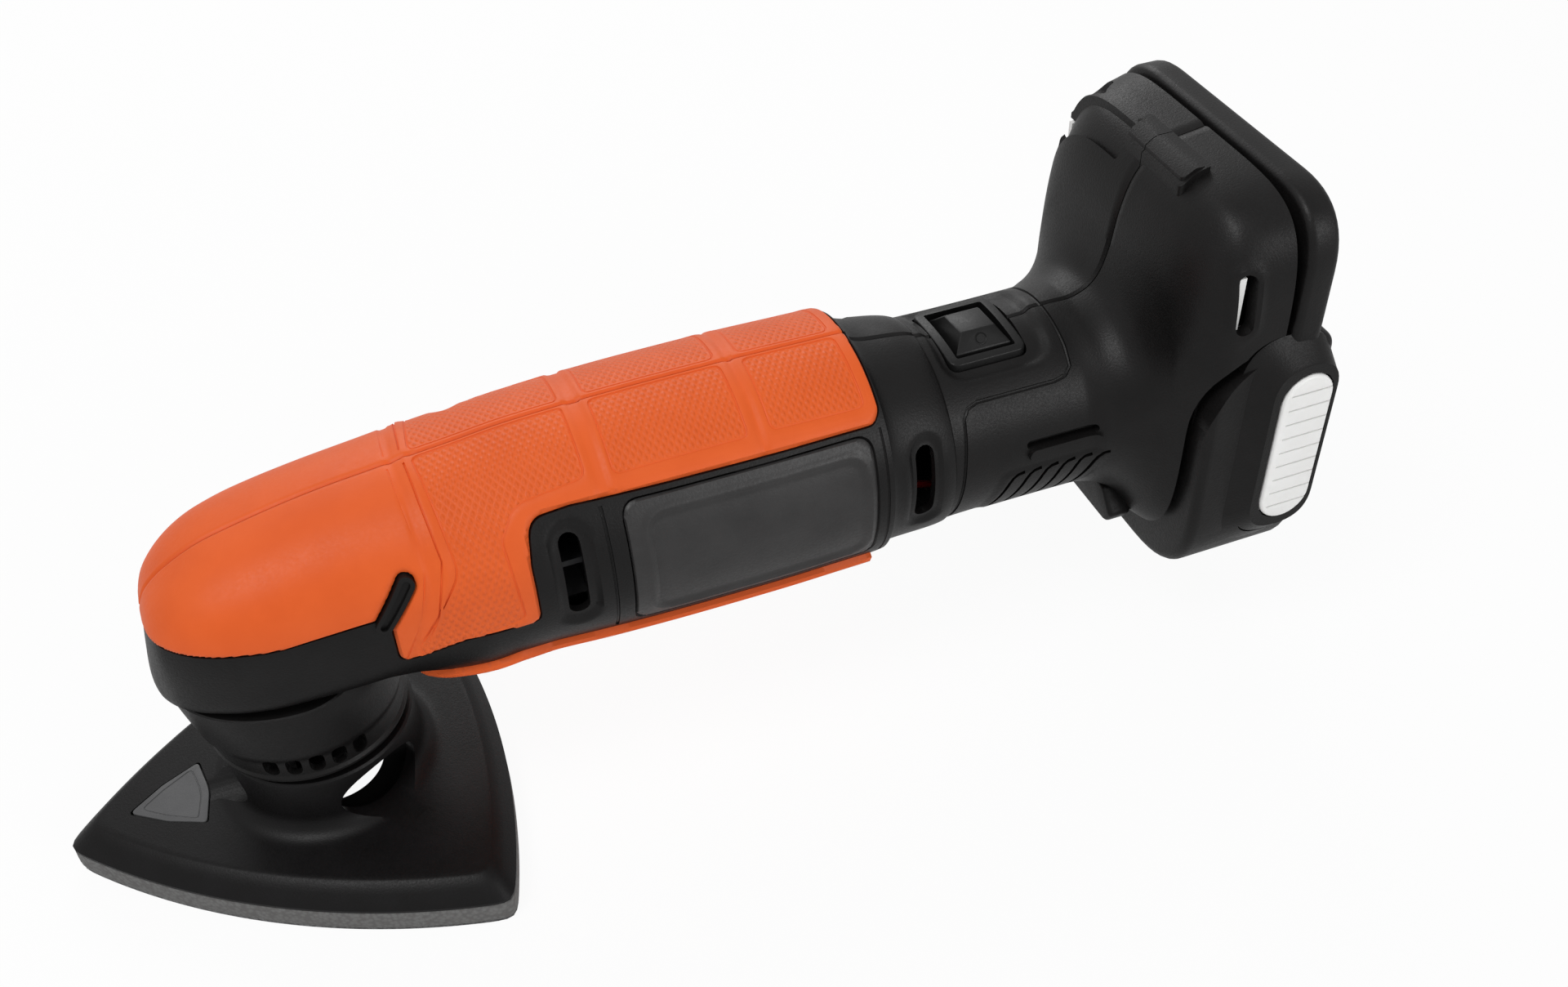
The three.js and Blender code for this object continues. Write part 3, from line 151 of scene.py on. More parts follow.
# %% A monotone cubic and the ring of points at any place along the form
def monotone(knots, values, at):
    """Values of a smooth curve through the knots that never overshoots them."""
    step = np.diff(knots)
    rise = np.diff(values) / step
    slope = np.zeros(len(knots))
    same_way = rise[:-1] * rise[1:] > 0
    w0, w1 = 2 * step[1:] + step[:-1], step[1:] + 2 * step[:-1]
    with np.errstate(divide="ignore", invalid="ignore"):
        harmonic = (w0 + w1) / (w0 / rise[:-1] + w1 / rise[1:])
    slope[1:-1] = np.where(same_way, harmonic, 0)
    slope[0], slope[-1] = rise[0], rise[-1]
    k = np.clip(np.searchsorted(knots, at, side="right") - 1, 0, len(step) - 1)
    u = (at - knots[k]) / step[k]
    h = step[k]
    return (
        values[k] * (1 + 2 * u) * (1 - u) ** 2 + slope[k] * h * u * (1 - u) ** 2
        + values[k + 1] * u * u * (3 - 2 * u) + slope[k + 1] * h * u * u * (u - 1)
    )


def sections(t):
    """Columns x, half width, top, bottom, level and two powers, at places t along the form."""
    return np.stack([monotone(STATION_T, STATIONS[:, c], t) for c in range(7)], axis=-1)


DENSE_T = np.linspace(0, STATION_T[-1], 6000)
DENSE_X = sections(DENSE_T)[:, 0]
RING_EASE = np.linspace(0, 1, 160)
RING_EASE = RING_EASE ** 3 * (RING_EASE * (6 * RING_EASE - 15) + 10)
RING_ANGLE = np.concatenate([-math.pi / 2 * (1 - RING_EASE), (math.pi / 2 * RING_EASE)[1:]])
NOSE_REACH = 22


def t_at(x):
    return np.interp(x, DENSE_X, DENSE_T)


def half_rings(t, share, grow=0.0):
    """Points of one half of the form, from bottom centre (share 0) round to top centre (share 1)."""
    angle = RING_ANGLE
    rings = np.zeros((len(t), len(share), 3))
    girth = np.zeros((len(t), len(share)))
    for row, (x, w, top, bottom, mid, up, down) in enumerate(sections(np.asarray(t, float))):
        power = np.where(angle >= 0, up, down)
        reach = np.maximum(np.where(angle >= 0, top - mid, mid - bottom) + grow, 0.05)
        y = max(w + grow, 0.05) * np.abs(np.cos(angle)) ** (2 / power)
        y[0] = y[-1] = 0
        z = mid + np.sign(angle) * reach * np.abs(np.sin(angle)) ** (2 / power)
        run = np.concatenate([[0], np.cumsum(np.hypot(np.diff(y), np.diff(z)))])
        at = share * run[-1]
        nose = max(0.0, 1 - (x - STATIONS[0, 0]) / NOSE_REACH) * grow
        rings[row] = np.stack([np.full(len(share), x - nose), np.interp(at, run, y), np.interp(at, run, z)], -1)
        girth[row] = run[-1] - at
    return rings, girth


def skin_point(x, z, side, lift=0.0):
    """A point of the form's side, found from the side view."""
    _, w, top, bottom, mid, up, down = sections(np.array([t_at(x)]))[0]
    power, reach = (up, top - mid) if z >= mid else (down, mid - bottom)
    y = w * max(0.0, 1 - min(1.0, abs(z - mid) / reach) ** power) ** (1 / power)
    return Vector((x, side * (y + lift), z))


# %% [markdown]
# ## Outlines
# A moulded edge is drawn as a flat outline first: corner points, each with its
# radius. The same outline then trims the skin, sinks the housing under it, or is
# extruded into a cutting tool. The signed distance to it (plus inside) is what
# shapes the rounded edges.

# %% Rounded outlines and the distance to them
def outline(points, steps=7):
    """A closed polygon whose corners are rounded: each point is (u, v) or (u, v, radius)."""
    made = []
    count = len(points)
    for i, point in enumerate(points):
        here = np.array(point[:2], float)
        r = point[2] if len(point) > 2 else 0
        before = np.array(points[i - 1][:2], float) - here
        after = np.array(points[(i + 1) % count][:2], float) - here
        lengths = np.linalg.norm(before), np.linalg.norm(after)
        half = math.acos(np.clip(before @ after / lengths[0] / lengths[1], -1, 1)) / 2
        back = min(r / math.tan(half), 0.49 * lengths[0], 0.49 * lengths[1]) if r else 0
        if back == 0:
            made.append(here)
            continue
        start, end = here + before / lengths[0] * back, here + after / lengths[1] * back
        for u in np.linspace(0, 1, steps):
            made.append((1 - u) ** 2 * start + 2 * u * (1 - u) * here + u * u * end)
    return np.array(made)


def rounded(u0, u1, v0, v1, r, steps=9):
    return outline([(u0, v0, r), (u1, v0, r), (u1, v1, r), (u0, v1, r)], steps)


def pill(u, v, width, height, lean=0.0, steps=9):
    """An outline with round ends, height tall, leaning by an angle in degrees."""
    r = width / 2
    arc = np.linspace(0, math.pi, steps)
    top = np.stack([r * np.cos(arc), height / 2 - r + r * np.sin(arc)], -1)
    a = math.radians(lean)
    turn = np.array([[math.cos(a), -math.sin(a)], [math.sin(a), math.cos(a)]])
    return np.concatenate([top, -top]) @ turn + (u, v)


def distance(shape, u, v):
    """Signed distance to an outline, plus inside, with the nearest point on it."""
    best = np.full(u.shape, 1e9)
    near = np.zeros(u.shape + (2,))
    inside = np.zeros(u.shape, bool)
    for (au, av), (bu, bv) in zip(shape, np.roll(shape, -1, axis=0)):
        du, dv = bu - au, bv - av
        length2 = du * du + dv * dv
        if length2 < 1e-12:
            continue
        s = np.clip(((u - au) * du + (v - av) * dv) / length2, 0, 1)
        qu, qv = au + s * du, av + s * dv
        d = np.hypot(u - qu, v - qv)
        closer = d < best
        best = np.where(closer, d, best)
        near[closer] = np.stack([qu, qv], -1)[closer]
        if dv != 0:
            crosses = ((av > v) != (bv > v)) & (u < du * (v - av) / dv + au)
            inside ^= crosses
    return np.where(inside, best, -best), near


def smooth(value):
    value = np.clip(value, 0, 1)
    return value * value * (3 - 2 * value)


def mix(a, b, share):
    return a * (1 - share) + b * share


def rolled(d, r, proud):
    """Height of a raised layer at distance d inside its edge, with an edge radius r."""
    inner = np.clip(d / r, 0, 1)
    return proud - r + r * np.sqrt(1 - (1 - inner) ** 2)


# %% The outlines of the clamshell, in side view (x, z)
def top_grip_shape(grow=0.0):
    g = grow
    return outline([
        (-40, 64.6 - g), (0, 64 - g, 6), (19.6 - g, 65.6 - g, 0.5), (19.6 - g, 54.2 - g, 2.4), (24, 54.6 - g, 3),
        (32.5, 56.7 - g, 6), (46.4 + g, 57 - g, 2), (46.4 + g, 70, 8), (47.6 + g, 77.7 - g, 4), (56, 78.4 - g, 5),
        (117, 78.3 - g, 3), (118.6 + g, 80, 2), (119 + g, 95), (-40, 95),
    ])


def belly_grip_shape(grow=0.0):
    g = grow
    return outline([
        (22.6 - g, 44.6 + g, 1), (30, 45.4 + g, 5), (42, 47 + g, 4), (48, 44.9 + g, 4), (116.6 + g, 44.6 + g, 1),
        (116.6 + g, 20), (22.6 - g, 20),
    ])


def finger_shape(grow=0.0):
    """The finger of hard plastic that runs up into the soft skin."""
    base, tip = np.array((18.2, 64.2)), np.array((23.9, 72))
    middle, run = (base + tip) / 2, tip - base
    lean = math.degrees(math.atan2(run[0], run[1]))
    length = float(np.hypot(*run)) + 3 + 2 * grow
    return pill(*middle, 3 + 2 * grow, length, lean)


def panel_shape(grow=0.0):
    return rounded(65 - grow, 115.6 + grow, 47.4 - grow, 77 + grow, 3.5)


# %% [markdown]
# ## Wrapped sheets
# The housing, the soft skin and the side panel all follow the same form, so each
# starts as a flat grid that is wrapped over it. Faces outside an outline are
# deleted and the border's vertices slide onto the outline, which gives a clean
# edge without a Boolean. The sheet is then extruded inwards to its real
# thickness. Lifting each vertex along the normal adds rims, dishes and grooves.

# %% The sheet itself
def faces_round(chosen):
    """For every vertex of a grid, how many of the faces round it are chosen."""
    count = np.zeros(np.array(chosen.shape) + 1)
    for a in (slice(None, -1), slice(1, None)):
        for b in (slice(None, -1), slice(1, None)):
            count[a, b] += chosen
    return count


class Sheet:
    """A grid wrapped over the form, with a lift and a patch value for each vertex."""

    def __init__(self, x0, x1, share0, share1, step, side, extra_x=()):
        t = np.arange(t_at(x0), t_at(x1) + step * 0.5, step)
        t = np.unique(np.concatenate([t, [t_at(x) for x in extra_x]]))
        columns = int(math.pi * BODY_R * (share1 - share0) / step)
        share = np.linspace(share0, share1, columns + 1)
        self.t, self.share, self.side = t, share, side
        points, self.girth = half_rings(t, share)
        normal = np.cross(np.gradient(points, axis=1), np.gradient(points, axis=0))
        normal /= np.maximum(np.linalg.norm(normal, axis=-1, keepdims=True), 1e-9)
        self.normal = normal * (np.sign(np.median(normal[..., 1])) or 1)
        self.point = points
        self.height = np.zeros(points.shape[:2])
        self.keep = np.ones((len(t) - 1, len(share) - 1), bool)
        self.patch = np.zeros(points.shape[:2])

    def flat(self, view):
        if view == "side":
            return self.point[..., 0], self.point[..., 2]
        if view == "plan":
            return self.point[..., 0], self.side * self.point[..., 1]
        return self.point[..., 0], self.girth

    def d(self, shape, view="side"):
        return distance(shape, *self.flat(view))[0]

    def snap(self, shape):
        """Slides the vertices along an outline onto it. Returns which faces are inside it."""
        d, near = distance(shape, *self.flat("side"))
        corners = np.stack([d[:-1, :-1], d[1:, :-1], d[1:, 1:], d[:-1, 1:]])
        inside = corners.mean(0) > 0
        counts = faces_round(inside)
        border = (counts > 0) & (counts < faces_round(np.ones_like(inside)))
        dx = np.where(border, near[..., 0] - self.point[..., 0], 0)
        dz = np.where(border, near[..., 1] - self.point[..., 2], 0)
        ny = self.normal[..., 1]
        ny = np.where(np.abs(ny) < 0.3, np.copysign(0.3, ny), ny)
        dy = -(self.normal[..., 0] * dx + self.normal[..., 2] * dz) / ny
        dy = np.where(np.abs(self.normal[..., 1]) < 0.15, 0, dy)
        self.point += np.stack([dx, dy, dz], -1)
        return inside, border

    def middle_groove(self, depth, width):
        """Rounds the edges where the two halves meet."""
        self.height -= depth * (1 - smooth(self.girth / width))
        if self.share[0] == 0:
            total = self.girth.max(axis=1, keepdims=True)
            self.height -= depth * (1 - smooth((total - self.girth) / width))

    def mesh(self, depth):
        """A closed shell: the lifted sheet outside, and the form shrunk by depth inside.

        A shrunk form makes a thin wall where the form is steep along X, as the foot is,
        so the inner points also move back there.
        """
        outer = self.point + self.normal * self.height[..., None]
        inner, _ = half_rings(self.t, self.share, -depth)
        inner += self.point - half_rings(self.t, self.share)[0]
        x = self.point[..., 0]
        on_foot = np.clip((x - HANDLE_END) / 8, 0, 1) * np.clip((FOOT_REAR - x) / 8, 0, 1)
        inner[..., 0] += 0.6 * depth * on_foot * np.maximum(-self.normal[..., 0], 0)
        for surface in (outer, inner):
            surface[..., 1] = np.maximum(surface[..., 1], PARTING) * self.side
        rows, columns = self.keep.shape
        bm = bmesh.new()
        bmesh.ops.create_grid(bm, x_segments=rows, y_segments=columns, size=1)
        number = bm.verts.layers.int.new("number")
        patch = bm.verts.layers.float.new("patch")
        uv = bm.loops.layers.uv.new("surface")
        order = outer.transpose(1, 0, 2).reshape(-1, 3).tolist()
        under = inner.transpose(1, 0, 2).reshape(-1, 3).tolist()
        masks = self.patch.T.reshape(-1).tolist()
        spots = np.stack([self.point[..., 0], self.girth], -1).transpose(1, 0, 2).reshape(-1, 2)
        spots = (spots * 0.01).tolist()
        for i, v in enumerate(bm.verts):
            v.co = order[i]
            v[number] = i
            v[patch] = masks[i]
        kept = self.keep.T.reshape(-1)
        bm.faces.ensure_lookup_table()
        bmesh.ops.delete(bm, geom=[f for f, k in zip(bm.faces, kept) if not k], context="FACES")
        for face in bm.faces:
            for loop in face.loops:
                loop[uv].uv = spots[loop.vert[number]]
        made = bmesh.ops.extrude_face_region(bm, geom=bm.faces[:], use_keep_orig=True)
        for v in made["geom"]:
            if isinstance(v, bmesh.types.BMVert):
                v.co = under[v[number]]
        bmesh.ops.recalc_face_normals(bm, faces=bm.faces[:])
        return bm


# %% [markdown]
# ## Small workshop
# A few tools used by every piece: a finished mesh becomes an object that rides on
# its body, a flat outline becomes a prism, a profile is spun, and tools are cut
# away with Blender's Manifold solver, which is quick on dense closed meshes.

# %% Making objects
def new_object(name, bm):
    """Moves a mesh from millimetres to its place in the frame, and uses it up."""
    bmesh.ops.scale(bm, vec=(MM, MM, MM), verts=bm.verts)
    bmesh.ops.translate(bm, vec=(SPINDLE_X, 0, 0), verts=bm.verts)
    mesh = bpy.data.meshes.new(name)
    bm.to_mesh(mesh)
    bm.free()
    made = bpy.data.objects.new(name, mesh)
    bpy.context.scene.collection.objects.link(made)
    return made


def evaluated(made):
    """The mesh of an object with its modifiers or its curve settings applied."""
    return bpy.data.meshes.new_from_object(made.evaluated_get(bpy.context.evaluated_depsgraph_get()))


def boolean(target, tools, operation="DIFFERENCE"):
    """Cuts tools, meshes or objects, from target or joins them to it. They are used up."""
    used = [item if isinstance(item, bpy.types.Object) else new_object("tool", item) for item in tools]
    for item in used:
        change = target.modifiers.new(item.name, "BOOLEAN")
        change.object, change.operation, change.solver = item, operation, "MANIFOLD"
    changed = evaluated(target)
    target.modifiers.clear()
    target.data = changed
    for item in used:
        bpy.data.objects.remove(item)
    return target


def sharpen(target, degrees):
    """Smooth shading everywhere but at edges that turn by more than an angle."""
    bm = bmesh.new()
    bm.from_mesh(target.data)
    for face in bm.faces:
        face.smooth = True
    for edge in bm.edges:
        edge.smooth = len(edge.link_faces) == 2 and edge.calc_face_angle(0) < math.radians(degrees)
    bm.to_mesh(target.data)
    bm.free()


def finish_piece(made, body, material, node, degrees=32):
    sharpen(made, degrees)
    made.data.materials.clear()
    made.data.materials.append(material)
    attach(made, body)
    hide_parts(node)
    print(f"{made.name}: {len(made.data.polygons)} faces")
    return made


# %% Prisms, turned shapes and beads
AXES = {
    "x": Matrix(((0, 0, 1, 0), (1, 0, 0, 0), (0, 1, 0, 0), (0, 0, 0, 1))),
    "y": Matrix(((1, 0, 0, 0), (0, 0, 1, 0), (0, 1, 0, 0), (0, 0, 0, 1))),
    "z": Matrix.Identity(4),
}


def round_edges(bm, edges, offset, segments):
    bmesh.ops.bevel(
        bm, geom=edges, offset=offset, segments=segments, profile=0.5, affect="EDGES", material=-1,
        clamp_overlap=True,
    )


def prism(shape, axis, low, high, bevel=0.0, segments=3):
    """An outline pushed along an axis: (y, z) along x, (x, z) along y or (x, y) along z."""
    bm = bmesh.new()
    face = bm.faces.new([bm.verts.new((u, v, low)) for u, v in shape])
    made = bmesh.ops.extrude_face_region(bm, geom=[face], use_keep_orig=True)
    top = [v for v in made["geom"] if isinstance(v, bmesh.types.BMVert)]
    bmesh.ops.translate(bm, vec=(0, 0, high - low), verts=top)
    bmesh.ops.recalc_face_normals(bm, faces=bm.faces[:])
    if bevel:
        round_edges(bm, [e for e in bm.edges if abs(e.verts[0].co.z - e.verts[1].co.z) < 1e-6], bevel, segments)
    bmesh.ops.transform(bm, matrix=AXES[axis], verts=bm.verts)
    bmesh.ops.recalc_face_normals(bm, faces=bm.faces[:])
    return bm


def stacked(levels):
    """A solid along Y through outlines (x, z) of equal count, each at its own level."""
    bm = bmesh.new()
    number = bm.verts.layers.int.new("number")
    shape, at = levels[0]
    corners = [bm.verts.new((u, at, v)) for u, v in shape]
    for i, corner in enumerate(corners):
        corner[number] = i
    top = [bm.faces.new(corners)]
    for step, (shape, at) in enumerate(levels[1:]):
        made = bmesh.ops.extrude_face_region(bm, geom=top, use_keep_orig=True)["geom"]
        if step:
            bmesh.ops.delete(bm, geom=top, context="FACES_ONLY")
        for v in (g for g in made if isinstance(g, bmesh.types.BMVert)):
            v.co = (shape[v[number]][0], at, shape[v[number]][1])
        top = [g for g in made if isinstance(g, bmesh.types.BMFace)]
    bmesh.ops.recalc_face_normals(bm, faces=bm.faces[:])
    return bm


def turned(profile, steps=48):
    """A solid of revolution about Z from (radius, height) points that start and end on the axis."""
    bm = bmesh.new()
    points = [bm.verts.new((r, 0, z)) for r, z in profile]
    edges = [bm.edges.new(pair) for pair in zip(points, points[1:])]
    bmesh.ops.spin(
        bm, geom=points + edges, cent=(0, 0, 0), axis=(0, 0, 1), angle=2 * math.pi, steps=steps, use_merge=True,
    )
    bmesh.ops.remove_doubles(bm, verts=bm.verts[:], dist=1e-4)
    bmesh.ops.recalc_face_normals(bm, faces=bm.faces[:])
    return bm


def bead(points, radius, closed=False):
    """A round rod that follows points in millimetres, for grooves and raised lines."""
    curve = bpy.data.curves.new("bead", "CURVE")
    curve.dimensions = "3D"
    curve.bevel_depth = radius
    curve.bevel_resolution = 2
    curve.use_fill_caps = True
    spline = curve.splines.new("POLY")
    spline.points.add(len(points) - 1)
    for target, p in zip(spline.points, points):
        target.co = (*p, 1)
    spline.use_cyclic_u = closed
    holder = bpy.data.objects.new("bead", curve)
    bpy.context.scene.collection.objects.link(holder)
    bpy.context.view_layer.update()
    bm = bmesh.new()
    bm.from_mesh(evaluated(holder))
    bpy.data.objects.remove(holder)
    bmesh.ops.remove_doubles(bm, verts=bm.verts[:], dist=1e-4)
    bmesh.ops.recalc_face_normals(bm, faces=bm.faces[:])
    return bm


def spun(bm, degrees, axis="Z"):
    bmesh.ops.rotate(bm, cent=(0, 0, 0), matrix=Matrix.Rotation(math.radians(degrees), 3, axis), verts=bm.verts)
    return bm


def shifted(bm, x=0, z=0):
    bmesh.ops.translate(bm, vec=(x, 0, z), verts=bm.verts)
    return bm


def mirrored(bm):
    bmesh.ops.scale(bm, vec=(1, -1, 1), verts=bm.verts)
    bmesh.ops.recalc_face_normals(bm, faces=bm.faces[:])
    return bm


def one_side(bm, side):
    return bm if side > 0 else mirrored(bm)


def side_prism(shape, low, high, side, *bevel):
    """An outline in side view pushed outwards on one side."""
    return one_side(prism(shape, "y", low, high, *bevel), side)


def layer(span, share, side, low, high, shape, axis):
    """A slab that follows the form from one lift to another, trimmed by an outline."""
    sheet = Sheet(*span, *share, LAYER_STEP, side)
    sheet.height += high
    slab = new_object("layer", sheet.mesh(-low))
    trim = side_prism(shape, 3, 60, side) if axis == "y" else prism(shape, "z", -10, FOOT_TOP - 0.1)
    return boolean(slab, [trim], "INTERSECT")


def stroke(points, width):
    """An outline of even width along a bent line."""
    line = np.array(points, float)
    run = np.gradient(line, axis=0)
    across = np.stack([-run[:, 1], run[:, 0]], -1) / np.linalg.norm(run, axis=1, keepdims=True) * width / 2
    return np.concatenate([line + across, (line - across)[::-1]])


# %% [markdown]
# ## Finishes
# Every finish begins with what the real surface is. One function adds a node,
# gives it its settings and links its inputs. Patterns read Object coordinates,
# which here are metres, so a scale is one divided by a real size.

# %% Colours and nodes
def rgba(code):
    """A linear colour from an sRGB hex value."""
    parts = [int(code[i:i + 2], 16) / 255 for i in (0, 2, 4)]
    return (*[c / 12.92 if c <= 0.04045 else ((c + 0.055) / 1.055) ** 2.4 for c in parts], 1)


def add(tree, kind, settings=None, **inputs):
    node = tree.nodes.new(kind)
    for key, value in (settings or {}).items():
        setattr(node, key, value)
    for key, value in inputs.items():
        numbered = key[0] == "i" and key[1:].isdigit()
        socket = node.inputs[int(key[1:]) if numbered else key.replace("_", " ")]
        if isinstance(value, bpy.types.NodeSocket):
            tree.links.new(value, socket)
        else:
            socket.default_value = value
    return node


def start(name, colour, roughness, metallic=0.0, **sockets):
    """A new material with its Principled shader and Object coordinates."""
    material = bpy.data.materials.new(name)
    material.use_nodes = True
    tree = material.node_tree
    tree.nodes.clear()
    shader = add(tree, "ShaderNodeBsdfPrincipled", Base_Color=rgba(colour), Roughness=roughness, Metallic=metallic)
    for key, value in sockets.items():
        shader.inputs[key.replace("_", " ")].default_value = value
    out = add(tree, "ShaderNodeOutputMaterial")
    tree.links.new(shader.outputs["BSDF"], out.inputs["Surface"])
    where = add(tree, "ShaderNodeTexCoord").outputs["Object"]
    return material, tree, shader, where


def speckle(tree, where, size_mm, detail=2.0):
    return add(
        tree, "ShaderNodeTexNoise", Vector=where, Scale=1000 / size_mm, Detail=detail, Roughness=0.6,
    ).outputs["Fac"]


def spread(tree, value, low, high, socket):
    """Turns a 0 to 1 pattern into a range for one of the shader's inputs."""
    ranged = add(tree, "ShaderNodeMapRange", Value=value, i1=0.3, i2=0.7, i3=low, i4=high)
    tree.links.new(ranged.outputs["Result"], socket)


def tint(tree, value, dark, light, socket):
    ramp = add(tree, "ShaderNodeValToRGB", Fac=value)
    ramp.color_ramp.elements[0].position, ramp.color_ramp.elements[1].position = 0.3, 0.7
    ramp.color_ramp.elements[0].color, ramp.color_ramp.elements[1].color = rgba(dark), rgba(light)
    tree.links.new(ramp.outputs["Color"], socket)


def emboss(tree, shader, height, depth_mm, strength=1.0):
    bump = add(tree, "ShaderNodeBump", Height=height, Distance=depth_mm * MM, Strength=strength)
    tree.links.new(bump.outputs["Normal"], shader.inputs["Normal"])
    return bump


# %% [markdown]
# ### Moulded plastics
# The clamshell and the battery are ABS from a spark-eroded mould. The eye reads
# that as a satin black with a fine, even grain. The real grain is about 0.2 mm;
# it is drawn at about 0.45 mm so that it still shows from arm's length.

# %% Plastics
def moulded(name, dark, light, roughness, grain_mm=0.45, depth_mm=0.05, **sockets):
    material, tree, shader, where = start(name, light, roughness, **sockets)
    grain = speckle(tree, where, grain_mm)
    patchy = speckle(tree, where, 9.0, 3.0)
    tint(tree, patchy, dark, light, shader.inputs["Base Color"])
    spread(tree, grain, roughness - 0.06, roughness + 0.08, shader.inputs["Roughness"])
    emboss(tree, shader, grain, depth_mm, 0.7)
    return material


ABS_BLACK = moulded("moulded_abs_black", "100f0f", "161515", 0.4, depth_mm=0.07, Specular_IOR_Level=0.22)
# The side panels are the same black ABS. Their lighter grey base colour is a painted highlight that stands in for the
# grazing light that brightens them.
PANEL_PAINTED_HIGHLIGHT = moulded(
    "moulded_abs_panel_painted_highlight", "2a2929", "333232", 0.42, grain_mm=0.6, depth_mm=0.08, Specular_IOR_Level=0.4,
)
ABS_SMOOTH = moulded("moulded_abs_switch", "121212", "181818", 0.36, depth_mm=0.02, Specular_IOR_Level=0.25)
NYLON_BLACK = moulded("glass_filled_nylon", "1b1b1d", "29292b", 0.55, grain_mm=0.7)
ABS_PLATEN = moulded("moulded_abs_platen", "0e0d0d", "131213", 0.42, grain_mm=0.4, Specular_IOR_Level=0.18)
POM_WHITE = moulded("acetal_white", "f6f6f4", "fbfbfa", 0.35, grain_mm=0.8, depth_mm=0.01)
INSERT_GREY = moulded("moulded_abs_grey", "535354", "5c5c5d", 0.45, Specular_IOR_Level=0.3)

# %% [markdown]
# ### The soft skin
# The orange skin is a thermoplastic elastomer moulded over the hard shell. It is
# matt with a faint sheen. Three fields carry raised diamonds for grip, marked by
# the sheet's `patch` attribute, and two slanted waves on the surface coordinates
# draw them 1.3 mm apart.

# %% Orange elastomer with diamonds
def soft_skin(name, dark, light):
    material, tree, shader, where = start(
        name, light, 0.5, Sheen_Weight=0.04, Sheen_Roughness=0.5, Specular_IOR_Level=0.3,
    )
    tint(tree, speckle(tree, where, 14.0, 3.0), dark, light, shader.inputs["Base Color"])
    spread(tree, speckle(tree, where, 0.6), 0.44, 0.56, shader.inputs["Roughness"])
    spots = add(tree, "ShaderNodeUVMap", {"uv_map": "surface"}).outputs["UV"]
    waves = []
    for lean in (32, -32):
        turned_map = add(tree, "ShaderNodeMapping", Vector=spots, Rotation=(0, 0, math.radians(lean)))
        waves.append(add(
            tree, "ShaderNodeTexWave", {"wave_type": "BANDS", "bands_direction": "X", "wave_profile": "SIN"},
            Vector=turned_map.outputs["Vector"], Scale=100 / 1.3 / 6.283 * 2, Distortion=0.0,
        ).outputs["Fac"])
    crossed = add(tree, "ShaderNodeMath", {"operation": "MULTIPLY"}, i0=waves[0], i1=waves[1]).outputs[0]
    field = add(tree, "ShaderNodeAttribute", {"attribute_name": "patch"}).outputs["Fac"]
    diamonds = add(tree, "ShaderNodeMath", {"operation": "MULTIPLY"}, i0=crossed, i1=field).outputs[0]
    fine = add(tree, "ShaderNodeBump", Height=speckle(tree, where, 0.5), Distance=0.03 * MM, Strength=0.5)
    raised = add(
        tree, "ShaderNodeBump", Height=diamonds, Distance=0.22 * MM, Strength=0.9, Normal=fine.outputs["Normal"],
    )
    tree.links.new(raised.outputs["Normal"], shader.inputs["Normal"])
    return material


SOFT_ORANGE = soft_skin("elastomer_orange", "e25c1e", "ea6325")


# %% [markdown]
# ### Metals, rubber, foam and the small things inside
# Turned and drawn steel keeps fine lines along the tool marks, cast alloy is
# cloudy, and sintered gears are finely pitted. Foam and hook fabric are drawn by
# their cells and hooks.

# %% Metals
def metal(name, dark, light, roughness, size_mm=0.8, depth_mm=0.02, stretch=(1, 1, 1)):
    material, tree, shader, where = start(name, light, roughness, metallic=1.0)
    drawn = add(tree, "ShaderNodeMapping", Vector=where, Scale=stretch).outputs["Vector"]
    marks = speckle(tree, drawn, size_mm, 3.0)
    tint(tree, marks, dark, light, shader.inputs["Base Color"])
    spread(tree, marks, roughness - 0.07, roughness + 0.1, shader.inputs["Roughness"])
    emboss(tree, shader, marks, depth_mm, 0.6)
    return material


GROUND_STEEL = metal("ground_steel", "8e9092", "a5a7a9", 0.28, 0.6, stretch=(1, 1, 4))
BEARING_STEEL = metal("bearing_steel", "a0a2a4", "b8babc", 0.22, 0.5)
DRAWN_STEEL = metal("drawn_zinc_steel", "7c7f82", "95989b", 0.34, 0.9, stretch=(0.2, 1, 1))
DARK_STEEL = metal("blackened_steel", "4a4c4f", "5d5f62", 0.38, 0.5)
CAST_ALLOY = metal("cast_aluminium", "8f9193", "a8aaac", 0.48, 2.2, 0.08)
GEAR_BRASS = metal("sintered_brass", "a5803f", "bf9850", 0.36, 0.4, 0.04)
IRON = metal("sintered_iron", "3c3c3e", "505052", 0.5, 0.5, 0.05)


def winding(name):
    """Varnished copper wire: fine bands round the motor's axis."""
    material, tree, shader, where = start(name, "b8693c", 0.32, metallic=1.0)
    wire = add(
        tree, "ShaderNodeTexWave", {"wave_type": "BANDS", "bands_direction": "X"}, Vector=where,
        Scale=1000 / 0.8 / 6.283 * 2, Distortion=1.0, Detail=1.0,
    ).outputs["Fac"]
    tint(tree, wire, "7d3f20", "c87c4a", shader.inputs["Base Color"])
    emboss(tree, shader, wire, 0.15)
    return material


COPPER = winding("varnished_copper")


# %% Foam, hooks, rubber, cells, board and leads
def cells_of(name, dark, light, size_mm, roughness, depth_mm, **sockets):
    material, tree, shader, where = start(name, light, roughness, **sockets)
    pores = add(tree, "ShaderNodeTexVoronoi", Vector=where, Scale=1000 / size_mm).outputs["Distance"]
    tint(tree, pores, light, dark, shader.inputs["Base Color"])
    emboss(tree, shader, pores, depth_mm, 0.8)
    return material


